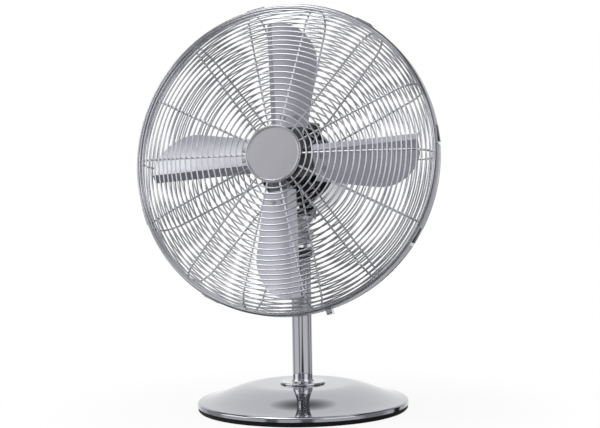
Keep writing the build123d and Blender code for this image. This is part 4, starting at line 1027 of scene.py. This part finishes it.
def grey_ramp(value, stops):
    """Greys read from a value by (place, grey) stops, with places from 0 to 1."""
    ramp = add_node(sky, "ShaderNodeValToRGB")
    elements = ramp.color_ramp.elements
    while len(elements) < len(stops):
        elements.new(0.5)
    for element, (place, grey) in zip(elements, sorted(stops)):
        element.position = place
        element.color = (grey, grey, min(1.0, grey * SKY_TINT), 1)
    sky.links.new(value, ramp.inputs["Fac"])
    return ramp.outputs["Color"]


def on_gradient(bearing):
    """Where a bearing lies on the radial gradient, which runs once round from 0 to 1."""
    return (FRONT_ON_GRADIENT + (VIEW_AZIMUTH + bearing) / 360) % 1


def vector_node(operation, first, second=None):
    """A Vector Math node on a socket and a fixed vector."""
    node = add_node(sky, "ShaderNodeVectorMath", operation=operation)
    sky.links.new(first, node.inputs[0])
    if second is not None:
        node.inputs[1].default_value = second
    return node


def mixed(factor, first, **settings):
    """A Mix node for colours, with its factor and its first colour linked."""
    node = add_node(sky, "ShaderNodeMix", data_type="RGBA", **settings)
    sky.links.new(factor, node.inputs["Factor"])
    sky.links.new(first, node.inputs["A"])
    return node


def room_colour(direction, height):
    """The room's greys: walls by height, with strips by bearing and then the cards."""
    walls = grey_ramp(mapped(sky, height, (-1, 1)), [((place + 1) / 2, grey) for place, grey in WALLS])
    stops = [(on_gradient(180), ROOM_GREY)]
    for bearing, half, grey in STRIPS:
        stops += [(on_gradient(bearing - half), ROOM_GREY), (on_gradient(bearing - half / 2), grey),
                  (on_gradient(bearing + half / 2), grey), (on_gradient(bearing + half), ROOM_GREY)]
    compass = add_node(sky, "ShaderNodeTexGradient", gradient_type="RADIAL")
    sky.links.new(direction, compass.inputs["Vector"])
    near_horizon = mapped(sky, math_node(sky, "ABSOLUTE", height), STRIP_FADE, (1, 0))
    striped = mixed(near_horizon, walls, blend_type="MULTIPLY")
    sky.links.new(grey_ramp(compass.outputs["Fac"], stops), striped.inputs["B"])
    colour = striped.outputs["Result"]
    for bearing, elevation, rim, full in CARDS:
        toward = vector_node("DOT_PRODUCT", direction, way_at(bearing, elevation)).outputs["Value"]
        colour = mixed(mapped(sky, toward, (rim, full)), colour, B=CARD_GREY).outputs["Result"]
    return colour


def backdrop_share(direction, height):
    """How much of the white backdrop lies in a direction."""
    level = vector_node("MULTIPLY", direction, (1, 1, 0)).outputs["Vector"]
    bearing = vector_node("NORMALIZE", level).outputs["Vector"]
    away = vector_node("DOT_PRODUCT", bearing, way_at(180, 0)).outputs["Value"]
    full, rim = (cos(radians(angle)) for angle in BACKDROP_HALF)
    wide = math_node(sky, "MULTIPLY", mapped(sky, away, (rim, full)), mapped(sky, height, BACKDROP_FOOT))
    return math_node(sky, "MULTIPLY", wide, mapped(sky, height, BACKDROP_TOP, (1, 0)))


sky_direction = add_node(sky, "ShaderNodeTexCoord").outputs["Generated"]
sky_parts = add_node(sky, "ShaderNodeSeparateXYZ")
sky.links.new(sky_direction, sky_parts.inputs["Vector"])
sky_height = sky_parts.outputs["Z"]
room = sky.nodes["Background"]
room.inputs["Strength"].default_value = 1.0
sky.links.new(room_colour(sky_direction, sky_height), room.inputs["Color"])
white = add_node(sky, "ShaderNodeBackground", Color=WHITE, Strength=1.0)
path = add_node(sky, "ShaderNodeLightPath").outputs
mirrored = math_node(sky, "MULTIPLY", backdrop_share(sky_direction, sky_height), path["Is Glossy Ray"])
seen = math_node(sky, "MAXIMUM", path["Is Camera Ray"], path["Is Transmission Ray"])
choose = add_node(sky, "ShaderNodeMixShader")
sky.links.new(math_node(sky, "MAXIMUM", seen, mirrored), choose.inputs["Fac"])
sky.links.new(room.outputs["Background"], choose.inputs[1])
sky.links.new(white.outputs["Background"], choose.inputs[2])
sky.links.new(choose.outputs["Shader"], sky.nodes["World Output"].inputs["Surface"])

# Large soft lamps aimed at the middle of the fan: place and side in metres, power in watts

LAMPS = {
    "key": ((-2.2, -1.25, 1.15), 1.8, 15),
    "fill": ((1.9, -1.2, 1.2), 1.6, 10),
    "top": ((-0.7, -0.6, 2.3), 1.2, 17),
}
LAMP_AIM = Vector((0, 0, 0.3))
for lamp_name, (lamp_place, lamp_side, power) in LAMPS.items():
    lamp = bpy.data.lights.new(lamp_name, "AREA")
    lamp.size = lamp_side
    lamp.energy = power
    holder = bpy.data.objects.new(lamp_name, lamp)
    bpy.context.scene.collection.objects.link(holder)
    holder.location = lamp_place
    holder.rotation_euler = (LAMP_AIM - Vector(lamp_place)).to_track_quat("-Z", "Y").to_euler()
